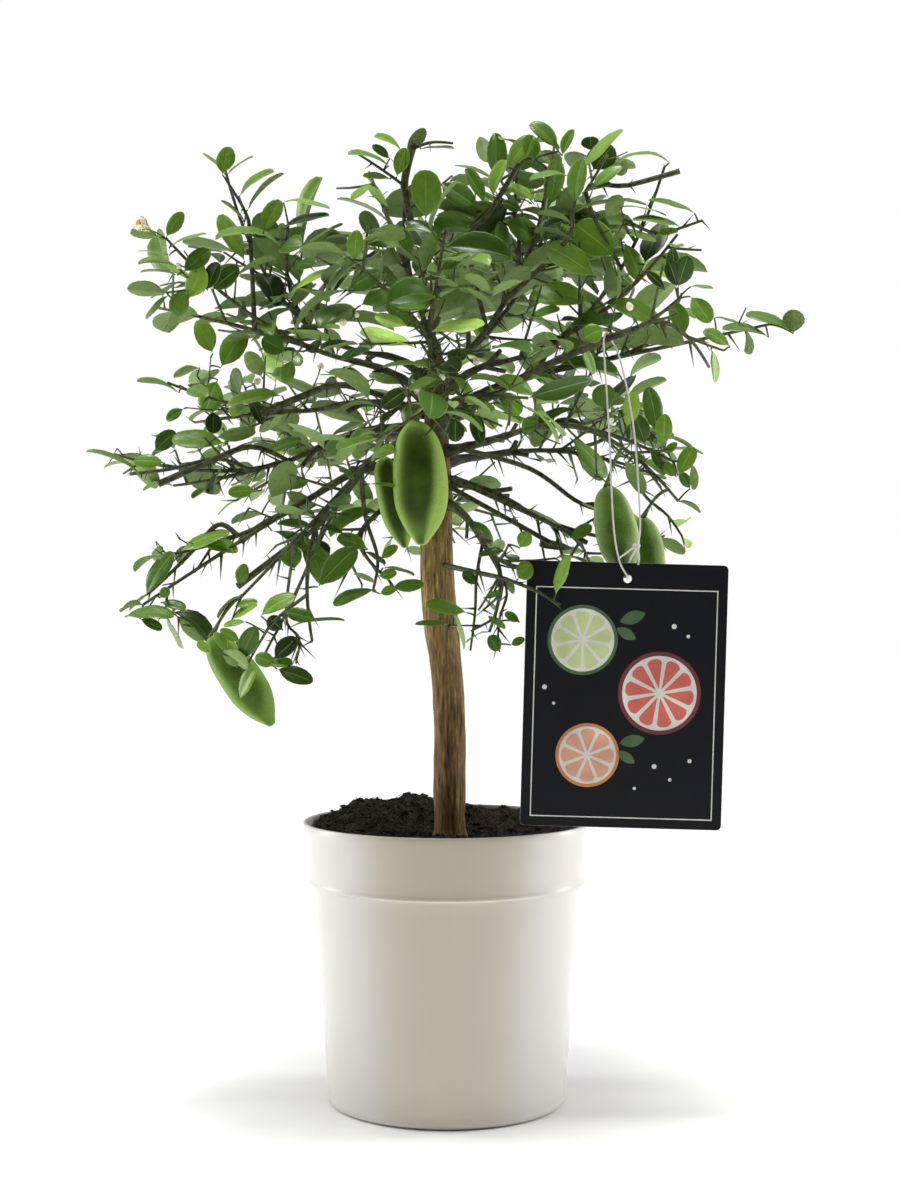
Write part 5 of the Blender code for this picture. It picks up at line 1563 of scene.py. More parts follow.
class FINGER_LIME_OT_pot(bpy.types.Operator):
    """Turn the pot, with its rolled rim, collar, shoulder step and slightly uneven wall"""

    bl_idname = "finger_lime.pot"
    bl_label = "Make the pot"

    def outline(self, rim, top):
        """The pot's radii and heights, from the middle of its inside to that of its underside."""
        collar = top - POT_COLLAR_HEIGHT
        shrink = rim / POT_RIM_RADIUS
        foot = POT_COLLAR_FOOT_RADIUS * shrink
        shoulder = POT_SHOULDER_RADIUS * shrink
        base = POT_BASE_RADIUS * shrink
        inner = [
            (0, POT_WALL + 1), (base - POT_WALL - 8, POT_WALL + 1),
            (base - POT_WALL - 2, POT_WALL + 5), (shoulder - POT_WALL, collar - 1),
            (foot - POT_WALL, collar + 3), (rim - POT_WALL - 0.3, top - 6),
        ]
        half = POT_WALL / 2
        turns = [math.pi * i / 6 for i in range(7)]
        lip = [(rim - half - math.cos(a) * half, top - half + math.sin(a) * half) for a in turns]
        skirt = [
            (rim - 0.25 + (foot - rim + 0.2) * share, top - 5 - (POT_COLLAR_HEIGHT - 9) * share)
            for share in (0, 0.25, 0.5, 0.75, 1.0)
        ]
        step = [
            (foot + 0.1, collar + 2.4), (foot + 0.3, collar + 1.4), (foot + 0.2, collar + 0.3),
            (foot - 0.4, collar - 0.4), (foot - 1.9, collar - 0.5),
            (shoulder + 0.3, collar - 1.0), (shoulder, collar - 2.6),
        ]
        fall = POT_CORNER_RADIUS - collar + 2.6
        wall = [
            (shoulder + (base - shoulder) * share, collar - 2.6 + fall * share)
            for share in [i / 18 for i in range(1, 18)]
        ]
        turns = [math.radians(15 * i) for i in range(7)]
        corner = [
            (base - POT_CORNER_RADIUS * (1 - math.cos(a)), POT_CORNER_RADIUS * (1 - math.sin(a)))
            for a in turns
        ]
        under = [(base - 9, 0.0), (base - 12, 1.2), (30, 1.6), (0, 1.6)]
        return [*inner, *lip, *skirt, *step, *wall, *corner, *under]

    def execute(self, context):
        look = context.scene.lime_pot
        profile = self.outline(look.rim_radius / MM, look.height / MM)
        shape = bmesh.new()
        line = [shape.verts.new((r * MM, 0, z * MM)) for r, z in profile]
        edges = [shape.edges.new(pair) for pair in zip(line, line[1:])]
        bmesh.ops.spin(
            shape, geom=[*line, *edges], axis=(0, 0, 1), cent=(0, 0, 0), steps=POT_STEPS,
            angle=math.tau, use_merge=True,
        )
        bmesh.ops.remove_doubles(shape, verts=shape.verts, dist=1e-6)
        for vertex in shape.verts:
            # the blown wall is uneven by about a quarter of a millimetre
            reach = Vector((vertex.co.x, vertex.co.y, 0))
            if reach.length > 0.02 and vertex.co.z > 0.006:
                wobble = noise.noise(vertex.co * 14) * 0.25 + noise.noise(vertex.co * 45) * 0.08
                vertex.co += reach.normalized() * wobble * MM
        bmesh.ops.recalc_face_normals(shape, faces=shape.faces)
        mesh = bpy.data.meshes.new("plant_pot")
        shape.to_mesh(mesh)
        shape.free()
        mesh.shade_smooth()
        mesh.set_sharp_from_angle(angle=math.radians(50))
        mesh.materials.append(moulded_polypropylene(tuple(look.plastic_colour)))
        stand_for(place("plant_pot", mesh), ["pot"])
        return {"FINISHED"}


def soil_top(x, y):
    """Height of the soil: flat round the trunk, lumpy elsewhere, heaped at the back left."""
    off = Vector((x - TRUNK_FOOT_X, y))
    share = smooth((off.length - SOIL_SEAT_RADIUS) / SOIL_SEAT_RADIUS)
    from_heap = (Vector((x, y)) - SOIL_HEAP_PLACE).length / SOIL_HEAP_WIDTH
    heap = SOIL_HEAP_HEIGHT * math.exp(-from_heap * from_heap)
    lump = SOIL_LUMP * noise.noise(Vector((x / 17, y / 17, 0)))
    return SOIL_HEIGHT + share * (heap + lump)


class FINGER_LIME_OT_soil(bpy.types.Operator):
    """Fill the pot with peat: a lumpy top, crumbs, chips and loose fibres"""

    bl_idname = "finger_lime.soil"
    bl_label = "Fill in the soil"

    def surface(self, x, y, edge):
        """Height of the peat: it is banked up at the back and the left, with clods all over."""
        low = 3 * smooth((math.hypot(x, y) / edge - 0.86) / 0.14)
        bank = 9 * smooth((y + 10) / 55) + 3.5 * smooth((-x - 25) / 40) * smooth((y + 60) / 60)
        bank *= 1 - 0.75 * smooth((soil_top(x, y) - SOIL_HEIGHT - 4) / 12)
        spot = Vector((x, y, 0))
        clods = 2.4 * noise.noise(spot / 9) + 1.5 * noise.noise(spot / 4.1)
        clods += 1.0 * noise.noise(spot / 1.9) + 0.6 * noise.noise(spot / 0.9)
        return soil_top(x, y) - low + clods + bank + 1.0

    def execute(self, context):
        look = context.scene.lime_pot
        dark = tuple(look.peat_colour)
        edge = POT_COLLAR_FOOT_RADIUS - POT_WALL - 0.9
        rings, steps = 84, 210
        bunch = Bunch()
        points = [(0, 0, self.surface(0, 0, edge))]
        for r in range(1, rings + 1):
            for x, y in circle(0, 0, edge * r / rings, steps):
                points.append((x, y, self.surface(x, y, edge)))
        # below its top the soil follows the pot's inside down to the bottom
        collar = POT_HEIGHT - POT_COLLAR_HEIGHT
        shoulder, base = POT_SHOULDER_RADIUS - 3.1, POT_BASE_RADIUS - 9
        for reach, height in ((edge, collar + 6), (shoulder, collar - 1), (base, 6.0)):
            points += [(x, y, height) for x, y in circle(0, 0, reach, steps)]
        faces = [(0, 1 + s, 1 + (s + 1) % steps) for s in range(steps)]
        for r in range(rings + 2):
            for s in range(steps):
                a, b = 1 + r * steps + s, 1 + r * steps + (s + 1) % steps
                faces.append((a, a + steps, b + steps, b))
        last = 1 + (rings + 2) * steps
        faces.append(tuple(range(last + steps - 1, last - 1, -1)))
        bunch.add(points, faces, 0)
        self.crumbs(bunch, edge)
        materials = [
            damp_peat("Damp milled peat", dark, paint("#6c6557"), 0.85),
            damp_peat("Bark chips in peat", paint("#241a11"), paint("#5a4530"), 0.8),
            damp_peat("Peat fibres", paint("#3b2d1c"), paint("#80694a"), 0.85),
        ]
        stand_for(bunch.make("peat", materials), ["soil"])
        return {"FINISHED"}

    def crumbs(self, bunch, edge):
        """Crumbs, chips and fibres strewn over the top."""
        rng = random.Random(5)
        ball = bmesh.new()
        bmesh.ops.create_icosphere(ball, subdivisions=2, radius=1.0)
        balls = np.array([tuple(v.co) for v in ball.verts])
        ball_faces = [[v.index for v in face.verts] for face in ball.faces]
        ball.free()
        for i in range(CRUMBS):
            reach = edge * 0.965 * math.sqrt(rng.random())
            angle = rng.uniform(0, math.tau)
            x, y = reach * math.cos(angle), reach * math.sin(angle)
            if math.hypot(x - TRUNK_FOOT_X, y) < 15:
                continue
            size = rng.uniform(0.5, 1.9) * (1.4 if rng.random() < 0.1 else 1)
            chip = rng.random() < 0.2
            shape = (size, size * rng.uniform(0.5, 0.9), size * rng.uniform(0.45, 0.8))
            if chip:
                shape = (size * 1.9, size * 0.6, size * 0.4)
            turn = Matrix.Rotation(rng.uniform(0, math.tau), 3, "Z")
            turn = turn @ Matrix.Rotation(rng.uniform(-0.5, 0.5), 3, "Y")
            lumps = [1 + 0.9 * noise.noise(Vector(p) * 1.3 + Vector((i, 0, 0))) for p in balls]
            points = balls * np.array(lumps)[:, None] * shape @ np.array(turn.transposed())
            points += (x, y, self.surface(x, y, edge) + size * 0.25)
            bunch.add(points, ball_faces, 1 if chip else 0)
        for _ in range(FIBRES):
            reach = edge * 0.93 * math.sqrt(rng.random())
            angle = rng.uniform(0, math.tau)
            x, y = reach * math.cos(angle), reach * math.sin(angle)
            if math.hypot(x - TRUNK_FOOT_X, y) < 17:
                continue
            heading, length = rng.uniform(0, 360), rng.uniform(3, 11)
            way, curl = slope(heading, 0), slope(heading + 90, 0) * rng.uniform(-0.35, 0.35)
            line = []
            for t in (0, 0.25, 0.5, 0.75, 1):
                spot = Vector((x, y, 0)) + way * length * (t - 0.5) + curl * length * t * t
                if spot.length > edge * 0.96:
                    break
                lift = 0.5 + 2.2 * t * (1 - t)
                line.append(Vector((spot.x, spot.y, self.surface(spot.x, spot.y, edge) + lift)))
            if len(line) == 5:
                add_tube(bunch, line, taper((0.24, 0.12), 5), 4, 2)


class FINGER_LIME_OT_wood(bpy.types.Operator):
    """Grow the trunk and boughs with the relief of their bark, and their pruned stubs"""

    bl_idname = "finger_lime.wood"
    bl_label = "Grow the trunk and boughs"

    def trunk(self, depth):
        """The trunk: ridged bark, a spread foot sunk in the soil, knots and collars."""
        top = TRUNK_FOOT + TRUNK_RADII[-1][0]
        heights = np.arange(TRUNK_FOOT - 6, top + 0.1, 1.6)
        centres = [trunk_point(height) for height in heights]
        radii = [
            trunk_radius(height) * (0.84 + 0.16 * smooth((height - TRUNK_FOOT) / 30))
            for height in heights
        ]
        rings = np.array([
            [(x, y, centre.z) for x, y in circle(centre.x, centre.y, radius, TRUNK_SIDES)]
            for centre, radius in zip(centres, radii)
        ])
        rings = bark_relief(rings, centres, 5.5, 26.0, depth, 1)
        rings = bark_relief(rings, centres, 1.1, 60.0, depth * 1.7, 2)
        for height, heading, width, out in KNOTS:
            spot = trunk_point(height) + slope(heading, 0) * trunk_radius(height)
            away = np.linalg.norm(rings - np.array(tuple(spot)), axis=2)
            ring = np.exp(-((away / width) ** 2)) - 0.7 * np.exp(-((away / (width * 0.45)) ** 2))
            rings += (ring * out)[..., None] * np.array(tuple(slope(heading, 0)))
        # the foot spreads in low lobes as it meets the soil
        for r, centre in enumerate(centres):
            near = smooth(1 - (centre.z - TRUNK_FOOT + 6) / 26)
            for s, (x, y) in enumerate(circle(0, 0, 1, TRUNK_SIDES)):
                lobe = max(0.0, math.cos(2 * math.tau * s / TRUNK_SIDES + 0.6)) * 0.6 * near
                rings[r, s] += np.array((x, y, 0)) * lobe
        end = rings[-1].mean(axis=0)
        dome = [end + (rings[-1] - end) * share + (0, 0, up) for share, up in TRUNK_DOME]
        rings = np.vstack([rings, np.array(dome)])
        return rings, tube_faces(len(rings), TRUNK_SIDES)

    def execute(self, context):
        look = context.scene.lime_wood
        depth = look.bark_depth / MM
        rings, faces = self.trunk(depth)
        bunch = Bunch()
        bunch.add(rings, faces, 0)
        trunk = bunch.make("trunk_bark", [trunk_bark(tuple(look.trunk_colour))])
        stand_for(trunk, ["trunk"])
        limbs = Bunch()
        for number, bough in enumerate(BOUGHS):
            line = bough_points(bough, 24)
            inside = trunk_point(min(bough.root_height, TRUNK_FOOT + TRUNK_RADII[-1][0]))
            inside = inside.lerp(line[0], 0.35)
            points = resampled([inside, *line], BARK_STEP)
            slim = bough.root_radius * BOUGH_SLIMNESS, bough.tip_radius * BOUGH_SLIMNESS
            radii = taper(slim, len(points))
            rng = random.Random(400 + number)
            beat = rng.uniform(13, 19)
            for i in range(len(points)):
                run = i * BARK_STEP
                flare = 0.42 * math.exp(-max(run - 9, 0) / 6)
                joint = 0.13 * math.exp(-(((run % beat) - beat / 2) / 2.2) ** 2)
                radii[i] *= 1 + flare + joint
            rings = rings_along(points, radii, BOUGH_SIDES)
            rings = bark_relief(rings, points, 1.9, 11.0, depth * 0.55, 3 + number)
            limbs.add(rings, tube_faces(len(points), BOUGH_SIDES), 0)
            self.stubs(limbs, points, radii, rng)
        materials = [
            limb_bark("Old citrus limb bark", paint("#28291a"), tuple(look.limb_colour),
                      170.0, 0.6),
            damp_peat("Weathered pruning cut", paint("#5d5238"), paint("#a89a74"), 0.8),
        ]
        boughs = limbs.make("bough_bark", materials)
        stand_for(boughs, [bough.name for bough in BOUGHS])
        return {"FINISHED"}

    def stubs(self, limbs, points, radii, rng):
        """Pruned stubs on the outer part of a bough, each with a weathered flat cut."""
        for _ in range(2):
            spot, onward = place_on(points, rng.uniform(0.55, 0.98))
            aside = round_way(onward, rng.uniform(0, math.tau))
            lean = math.radians(rng.uniform(20, 48))
            way = onward * math.cos(lean) + aside * math.sin(lean)
            length, radius = rng.uniform(6, 16), radii[-1] * rng.uniform(0.65, 0.9)
            line = [spot + way * length * t + aside * t * t * 1.5 for t in (0, 0.35, 0.7, 1)]
            if not any(before_fruit(point) for point in line):
                add_tube(limbs, line, taper((radius, radius * 0.92), 4), 10, 0, 1)


class FINGER_LIME_OT_foliage(bpy.types.Operator):
    """Grow the shoots, twigs, thorns, buds and leaves of every mass"""

    bl_idname = "finger_lime.foliage"
    bl_label = "Grow the foliage"

    def execute(self, context):
        look = context.scene.lime_foliage
        spaces, filled = Spaces(), Filled(LEAF_CLEARANCE)
        leaves, thorns, wood, buds = [], [], Bunch(), []
        grown = [self.grow_mass(mass, look, spaces, thorns, wood) for mass in MASSES]
        lines = [line for _, lines_of_mass in grown for line in lines_of_mass]
        lines += [spray_line(spray) for spray in SPRAYS]
        self.show_leaves(lines, spaces, filled, leaves, wood, buds)
        for number, spray in enumerate(SPRAYS):
            self.grow_spray(spray, number, look, spaces, filled, leaves, thorns, wood)
        for rng, lines in grown:
            self.leaf_out(lines, rng, look, spaces, filled, leaves, thorns, buds)
        for root, tip in thorns:
            add_cone(wood, root, tip, 0.42 + 0.035 * (tip - root).length, 6, 2)
        materials = [
            limb_bark("Citrus shoot bark", paint("#212613"), paint("#586034"), 230.0, 0.55),
            limb_bark("Green citrus twig", paint("#2e3c14"), tuple(look.twig_colour), 300.0, 0.48),
            limb_bark("Citrus thorn", paint("#2a3512"), paint("#5f6f36"), 400.0, 0.42),
            damp_peat("Twig pruning cut", paint("#4a432e"), paint("#9c9069"), 0.8),
        ]
        nodes = [mass.name for mass in MASSES]
        stand_for(wood.make("twigs", materials), nodes)
        self.make_leaves(leaves, nodes)
        self.make_buds(buds, nodes)
        return {"FINISHED"}

    def show_leaves(self, lines, spaces, filled, leaves, wood, buds):
        """The leaves, buds and flower that stand out, each on a short stalk from a twig by it."""
        rng = random.Random(77)
        spots = np.array([tuple(spot) for line in lines for spot in resampled(line, 2.5)])

        def stalk_to(x, y, radius):
            holder = holder_at(x, y, spots)
            end = from_view(x, y, holder.y - 2)
            middle = holder.lerp(end, 0.5) + UP * (end - holder).length * 0.12
            add_tube(wood, bezier(holder, middle, end, 4), taper((radius, radius * 0.7), 5), 5, 1)
            return holder, end

        for row in SHOWN_LEAVES:
            holder, _ = stalk_to(row[0], row[1], 0.7)
            leaf = shown_leaf(row, holder, rng)
            leaves.append(leaf)
            aside = leaf.facing.cross(leaf.along).normalized() * leaf.width * 0.3
            filled.add(
                leaf.root + leaf.along * leaf.length * part + aside * turn
                for part in (0.3, 0.5, 0.7, 0.9)
                for turn in (-1, 0, 1)
            )
        spaces.keep_in_sight(leaves)
        for x, y in (SHOWN_FLOWER, *SHOWN_BUDS):
            holder, end = stalk_to(x, y, 0.6)
            buds.append((end, (end - holder + UP + Vector((0, -2, 0))).normalized(), 2.4))

    def grow_spray(self, spray, number, look, spaces, filled, leaves, thorns, wood):
        """A named twig: its own line, a few leaves or none, and thorns where it is bare."""
        rng = random.Random(900 + number)
        line = spray_line(spray)
        pruned = spray.radii[1] > 1.5
        add_tube(wood, line, taper(spray.radii, len(line)), 8, 0, 3 if pruned else None)
        axils = []
        if spray.bare < 1.0:
            made, axils = leaves_on(line, rng, spray.bare, 10.0, look, spaces, filled,
                                    spray.tint, full=True)
            leaves += made
        spots = [place_on(line, rng.uniform(0.15, 0.9)) for _ in range(int(run_of(line) / 14))]
        axils += [(spot, onward, rng.choice((-1, 1))) for spot, onward in spots]
        for spot, onward, side in axils:
            if rng.random() < 0.75:
                thorns.append(thorn_at(spot, onward, side, rng, look.thorn_length / MM))

    def grow_mass(self, mass, look, spaces, thorns, wood):
        """The wood and thorns of a mass. Its random draws and its leaves' lines come back."""
        rng = random.Random(mass.seed * 1000 + 7)
        shoots = [shoot_points(mass, number) for number in range(len(mass.shoots))]
        twigs = side_twigs(mass, spaces)
        twigs = [line for line in twigs if rng.random() < 0.25 + 0.75 * openness(line[-1])]
        fine = sprigs(twigs, rng, spaces, 15.0, 24.0)
        fine += sprigs(shoots, rng, spaces, 15.0, 24.0)
        if mass.bough:
            outer = bough_points(named(BOUGHS, mass.bough), 12)[4:]
            fine += sprigs([outer], rng, spaces, 11.0, 26.0)
            shoots.append(outer)
        thorn_length = look.thorn_length / MM * 1.3
        for line in shoots:
            for _ in range(int(run_of(line) / 12)):
                spot, onward = place_on(line, rng.uniform(0.02, 0.9))
                thorn = thorn_at(spot, onward, rng.choice((-1, 1)), rng, thorn_length)
                if spaces.free([thorn[1]]):
                    thorns.append(thorn)
        for number in range(len(mass.shoots)):
            smooth_line = shoot_points(mass, number, 14)
            if number == 0 and mass.bough:
                smooth_line.insert(0, bough_points(named(BOUGHS, mass.bough))[-1])
            add_tube(wood, smooth_line, taper(SHOOT_RADII, len(smooth_line)), 8, 0)
        for line in twigs:
            add_tube(wood, line, taper(TWIG_RADII, len(line)), 6, 1)
        for line in fine:
            add_tube(wood, line, taper(SPRIG_RADII, len(line)), 5, 1)
        return rng, [*shoots, *twigs, *fine]

    def leaf_out(self, lines, rng, look, spaces, filled, leaves, thorns, buds):
        """Leaves, thorns and buds on a mass's lines, the leaves further apart on long ones."""
        for line in lines:
            gap = look.leaf_spacing / MM * (1 + smooth((run_of(line) - 20) / 60))
            tint = min(int(abs(rng.gauss(2.9, 1.6))), 6)
            made, axils = leaves_on(line, rng, 0.2, gap, look, spaces, filled, tint)
            leaves += made
            for spot, onward, side in axils:
                if rng.random() < (0.22 if spot.z > AIRY_BELOW + 40 else 0.7):
                    thorn = thorn_at(spot, onward, side, rng, look.thorn_length / MM)
                    if spaces.free([thorn[1]]):
                        thorns.append(thorn)
                elif rng.random() < 0.02:
                    buds.append((spot, (onward + UP * 0.5).normalized(), rng.uniform(1.6, 2.8)))

    def make_leaves(self, leaves, nodes):
        """The leaves, each with two faces and a rib, in four pieces round the trunk."""
        pattern, faces, parts, rim = leaf_pattern()
        tints, unders = len(LEAF_TINTS), len(LEAF_UNDERSIDES)
        quarters = {}
        for leaf in leaves:
            side = "left" if leaf.root.x < CROWN_X else "right"
            depth = "front" if leaf.root.y < 0 else "back"
            bunch = quarters.setdefault(f"blades_{depth}_{side}", Bunch())
            tone = 2 if leaf.tint == YOUNG_AND_LIT else int(leaf.tint > 3)
            finishes = leaf.tint, tints + unders + tone, tints + tone
            points = leaf_shape(leaf, pattern)
            bunch.add(points, faces, [finishes[part] for part in parts], rim)
        materials = [
            leaf_skin(f"Citrus leaf {part} {number + 1}", code, roughness, relief)
            for part, codes, roughness, relief in (
                ("upper face", LEAF_TINTS, 0.33, 0.13),
                ("underside", LEAF_UNDERSIDES, 0.58, 0.22),
                # the rib's finish also paints the upper face's margins pale, as painted backlight
                ("rib", LEAF_RIBS_AND_LIT_MARGINS, 0.45, 0.2),
            )
            for number, code in enumerate(codes)
        ]
        for name, bunch in quarters.items():
            stand_for(bunch.make(name, materials), nodes)

    def make_buds(self, buds, nodes):
        """Small cream flower buds, each a pointed egg on a short stalk."""
        bunch = Bunch()
        for root, way, size in buds[1:]:
            stalk = root + way * size * 1.6
            add_tube(bunch, [root, stalk], (0.5, 0.55), 6, 1)
            line = [stalk + way * size * share for share in (0, 0.35, 0.9, 1.5, 2.0, 2.3)]
            add_tube(bunch, line, [size * w for w in (0.35, 0.8, 1.0, 0.85, 0.5, 0.12)], 10, 0)
        self.add_flower(bunch, buds[0][0], Vector((-0.8, -0.4, 0.5)).normalized())
        materials = [
            leaf_skin("Citrus bud petal", "#fbf3d3", 0.5, 0.1),
            leaf_skin("Citrus bud stalk", "#6d7f44", 0.5, 0.2),
            leaf_skin("Citrus stamen", "#eeb035", 0.6, 0.2),
        ]
        stand_for(bunch.make("buds", materials), nodes)

    def add_flower(self, bunch, root, way):
        """A half open flower: five cupped petals round a tuft of yellow stamens."""
        for number in range(5):
            out = round_way(way, math.tau * number / 5)
            aside = way.cross(out)
            points = []
            for share, wide in ((0, 0.8), (0.3, 2.6), (0.65, 3.3), (0.9, 2.4), (1.0, 0.8)):
                middle = root + (way * 9.5 + out * 6.0 * math.sin(share * 2.2)) * share
                for side in (-1, 0, 1):
                    points.append(middle + aside * side * wide + out * (abs(side) * -0.5))
            faces = [(a, a + 1, a + 4, a + 3) for a in (0, 1, 3, 4, 6, 7, 9, 10)]
            back = [tuple(i + 15 for i in face[::-1]) for face in faces]
            shifted = [point - out * 0.35 for point in points]
            bunch.add([tuple(p) for p in [*points, *shifted]], faces + back, 0)
        for number in range(9):
            out = round_way(way, GOLDEN_ANGLE * number)
            tip = root + way * 7.5 + out * 0.3 * number
            add_tube(bunch, [root + way, tip, tip + way * 1.8], (0.35, 0.4, 1.0), 5, 2)


class FINGER_LIME_OT_fruits(bpy.types.Operator):
    """Hang the finger shaped fruits on their stalks"""

    bl_idname = "finger_lime.fruits"
    bl_label = "Hang the fruits"

    def execute(self, context):
        look = context.scene.lime_fruit
        peel, stalks = Bunch(), Bunch()
        for number, fruit in enumerate(FRUITS):
            mass = named(MASSES, fruit.mass)
            lines = [shoot_points(mass, n) for n in range(len(mass.shoots))]
            top, tip = fruit_ends(fruit)
            down = (tip - top).normalized()
            across = down.cross(Vector((0, 1, 0))).normalized()
            points, radii = [], []
            for share, wide in FRUIT_PROFILE:
                bow = across * math.sin(share * math.pi) * fruit.radius * 0.07
                points.append(top + down * fruit.length * share + bow)
                radii.append(fruit.radius * wide)
            rings = rings_along(points, radii, FRUIT_SIDES)
            for r, centre in enumerate(points):
                for s in range(FRUIT_SIDES):
                    spot = Vector(rings[r, s])
                    # low lengthwise swellings, as in a real finger lime
                    lift = 0.03 * math.cos(5 * math.tau * s / FRUIT_SIDES + number)
                    lift += 0.05 * noise.noise(spot / 12)
                    rings[r, s] = tuple(centre + (spot - centre) * (1 + lift))
            # the lower left one and the two at the right have ripened further
            peel.add(rings, tube_faces(len(points), FRUIT_SIDES), (0, 0, 1, 2, 2)[number])
            root = nearest_on(lines, top + UP * 14)
            middle = root.lerp(top, 0.5) + UP * (root - top).length * 0.18
            line = bezier(root, middle + UP * 2, top + down * 1.2, 8)
            add_tube(stalks, line, [*taper((1.2, 1.0), 7), 1.5, 2.4], 8, 0)
        # the second colour of each peel is the colour of its painted light
        peels = [
            lime_peel("Finger lime peel", tuple(look.peel_colour), paint("#a4c75c")),
            lime_peel("Ripening finger lime peel", paint("#4a691b"), paint("#7b9d41")),
            lime_peel("Pale finger lime peel", paint("#56772a"), paint("#b2cd80")),
        ]
        fruits = peel.make("fruits", peels)
        rounding = fruits.modifiers.new("rounding", "SUBSURF")
        rounding.levels = rounding.render_levels = 2
        owners = sorted({fruit.mass for fruit in FRUITS})
        stand_for(fruits, owners)
        bark = limb_bark("Fruit stalk", paint("#38431f"), paint("#75834a"), 300.0, 0.5)
        stand_for(stalks.make("fruit_stalks", [bark]), owners)
        return {"FINISHED"}


class FINGER_LIME_OT_tag(bpy.types.Operator):
    """Make the hang tag with its printed citrus slices, and its twisted string"""

    bl_idname = "finger_lime.tag"
    bl_label = "Hang the tag"

    def to_plant(self, obj):
        """Turns a mesh drawn in the card's plane to where the card hangs."""
        turn = Matrix.Rotation(math.radians(TAG_TURN), 4, "Y")
        turn = turn @ Matrix.Rotation(math.radians(90), 4, "X")
        obj.data.transform(Matrix.Translation(TAG_CENTRE * MM) @ turn)
        obj.data.update()
        return obj

    def card(self, look):
        """The card, with round corners, a hole and edges that are rounded very slightly."""
        inner_x, inner_y = TAG_WIDTH / 2 - TAG_CORNER, TAG_HEIGHT / 2 - TAG_CORNER
        outline = []
        for side_x, side_y, first in ((1, 1, 0), (-1, 1, 90), (-1, -1, 180), (1, -1, 270)):
            for angle in [math.radians(first + turn) for turn in range(0, 91, 15)]:
                outline.append((side_x * inner_x + TAG_CORNER * math.cos(angle),
                                side_y * inner_y + TAG_CORNER * math.sin(angle)))
        hole = circle(0, TAG_HEIGHT / 2 - TAG_HOLE_DROP, TAG_HOLE_RADIUS, 32)
        curve = bpy.data.curves.new("card_outline", "CURVE")
        curve.dimensions = "2D"
        curve.fill_mode = "BOTH"
        curve.extrude = (TAG_THICKNESS / 2 - TAG_BEVEL) * MM
        curve.bevel_depth = TAG_BEVEL * MM
        curve.offset = -TAG_BEVEL * MM
        for points in (outline, hole):
            spline = curve.splines.new("POLY")
            spline.points.add(len(points) - 1)
            for knot, (x, y) in zip(spline.points, points):
                knot.co = (x * MM, y * MM, 0, 1)
            spline.use_cyclic_u = True
        drawn = place("card_outline", curve)
        bpy.context.view_layer.update()
        graph = bpy.context.evaluated_depsgraph_get()
        mesh = bpy.data.meshes.new_from_object(drawn.evaluated_get(graph))
        bpy.data.objects.remove(drawn)
        mesh.materials.clear()
        for material in (
            printed_card("Varnished printed card", tuple(look.card_colour), 0.38, 0.2),
            printed_card("Cut edge of card", paint("#b9b6ae"), 0.7),
        ):
            mesh.materials.append(material)
        for face in mesh.polygons:
            face.use_smooth = False
            face.material_index = 0 if abs(face.normal.z) > 0.9 else 1
        return place("hang_tag", mesh)

    def print_on(self):
        """The print: three citrus slices down the card, leaves, pips and a line round it."""
        bunch = Bunch()

        def patch(points, finish, lift=0.02):
            front = TAG_THICKNESS / 2 + lift
            bunch.add([(x, y, front) for x, y in points], [tuple(range(len(points)))], finish)

        def slice_at(x, y, radius, turn, rind, flesh, wedges):
            patch(circle(x, y, radius, 56), rind)
            patch(circle(x, y, radius * 0.9, 56), 3, 0.04)
            inner, outer = radius * 0.1, radius * 0.83
            half = math.pi / wedges - 0.075
            for w in range(wedges):
                middle = turn + math.tau * w / wedges
                points = [(x + inner * math.cos(middle), y + inner * math.sin(middle))]
                for i in range(9):
                    angle = middle - half + 2 * half * i / 8
                    reach = outer * (1 - 0.09 * abs(i / 4 - 1) ** 3)
                    points.append((x + reach * math.cos(angle), y + reach * math.sin(angle)))
                patch(points, flesh, 0.06)

        def leaf_at(x, y, length, heading):
            cos, sin = math.cos(math.radians(heading)), math.sin(math.radians(heading))
            shares = [i / 16 for i in range(17)]
            edge = [(t * length, 0.24 * length * math.sin(math.pi * t) ** 0.8) for t in shares]
            edge += [(along, -wide) for along, wide in edge[-2:0:-1]]
            patch([(x + px * cos - py * sin, y + px * sin + py * cos) for px, py in edge], 4)

        slice_at(-27, 34, 22, 0.2, 4, 0, 9)
        slice_at(22, 2, 26, 0.5, 5, 1, 10)
        slice_at(-22, -38, 20, 0.0, 6, 2, 8)
        for leaf in ((-4, 46, 17, 20), (-6, 42, 14, -28), (-2, -30, 16, 12), (-3, -35, 13, -34)):
            leaf_at(*leaf)
        for x, y, radius in ((30, 44, 1.6), (39, 38, 1.1), (-50, 4, 1.5), (-44, -6, 1.0),
                             (20, -44, 1.5), (30, -52, 1.1), (42, -40, 1.3), (8, -58, 1.0)):
            patch(circle(x, y, radius, 56), 3)
        # the line round the card is 0.7 mm wide, 6 mm in from its edge
        x, top, bottom, wide = TAG_WIDTH / 2 - 6, TAG_HEIGHT / 2 - 16, 6 - TAG_HEIGHT / 2, 0.7
        low, high = bottom + wide, top - wide
        for x0, y0, x1, y1 in ((-x, high, x, top), (-x, bottom, x, low),
                               (-x, low, -x + wide, high), (x - wide, low, x, high)):
            patch([(x0, y0), (x1, y0), (x1, y1), (x0, y1)], 3)
        inks = (
            ("Pale lime ink", "#c3cf92"), ("Coral ink", "#d0655a"), ("Peach ink", "#dba288"),
            ("White ink", "#d9d8cf"), ("Leaf green ink", "#44613a"),
            ("Dark red ink", "#6c2b2c"), ("Orange ink", "#c98147"),
        )
        materials = [printed_card(name, paint(code), 0.42) for name, code in inks]
        return bunch.make("tag_print", materials)

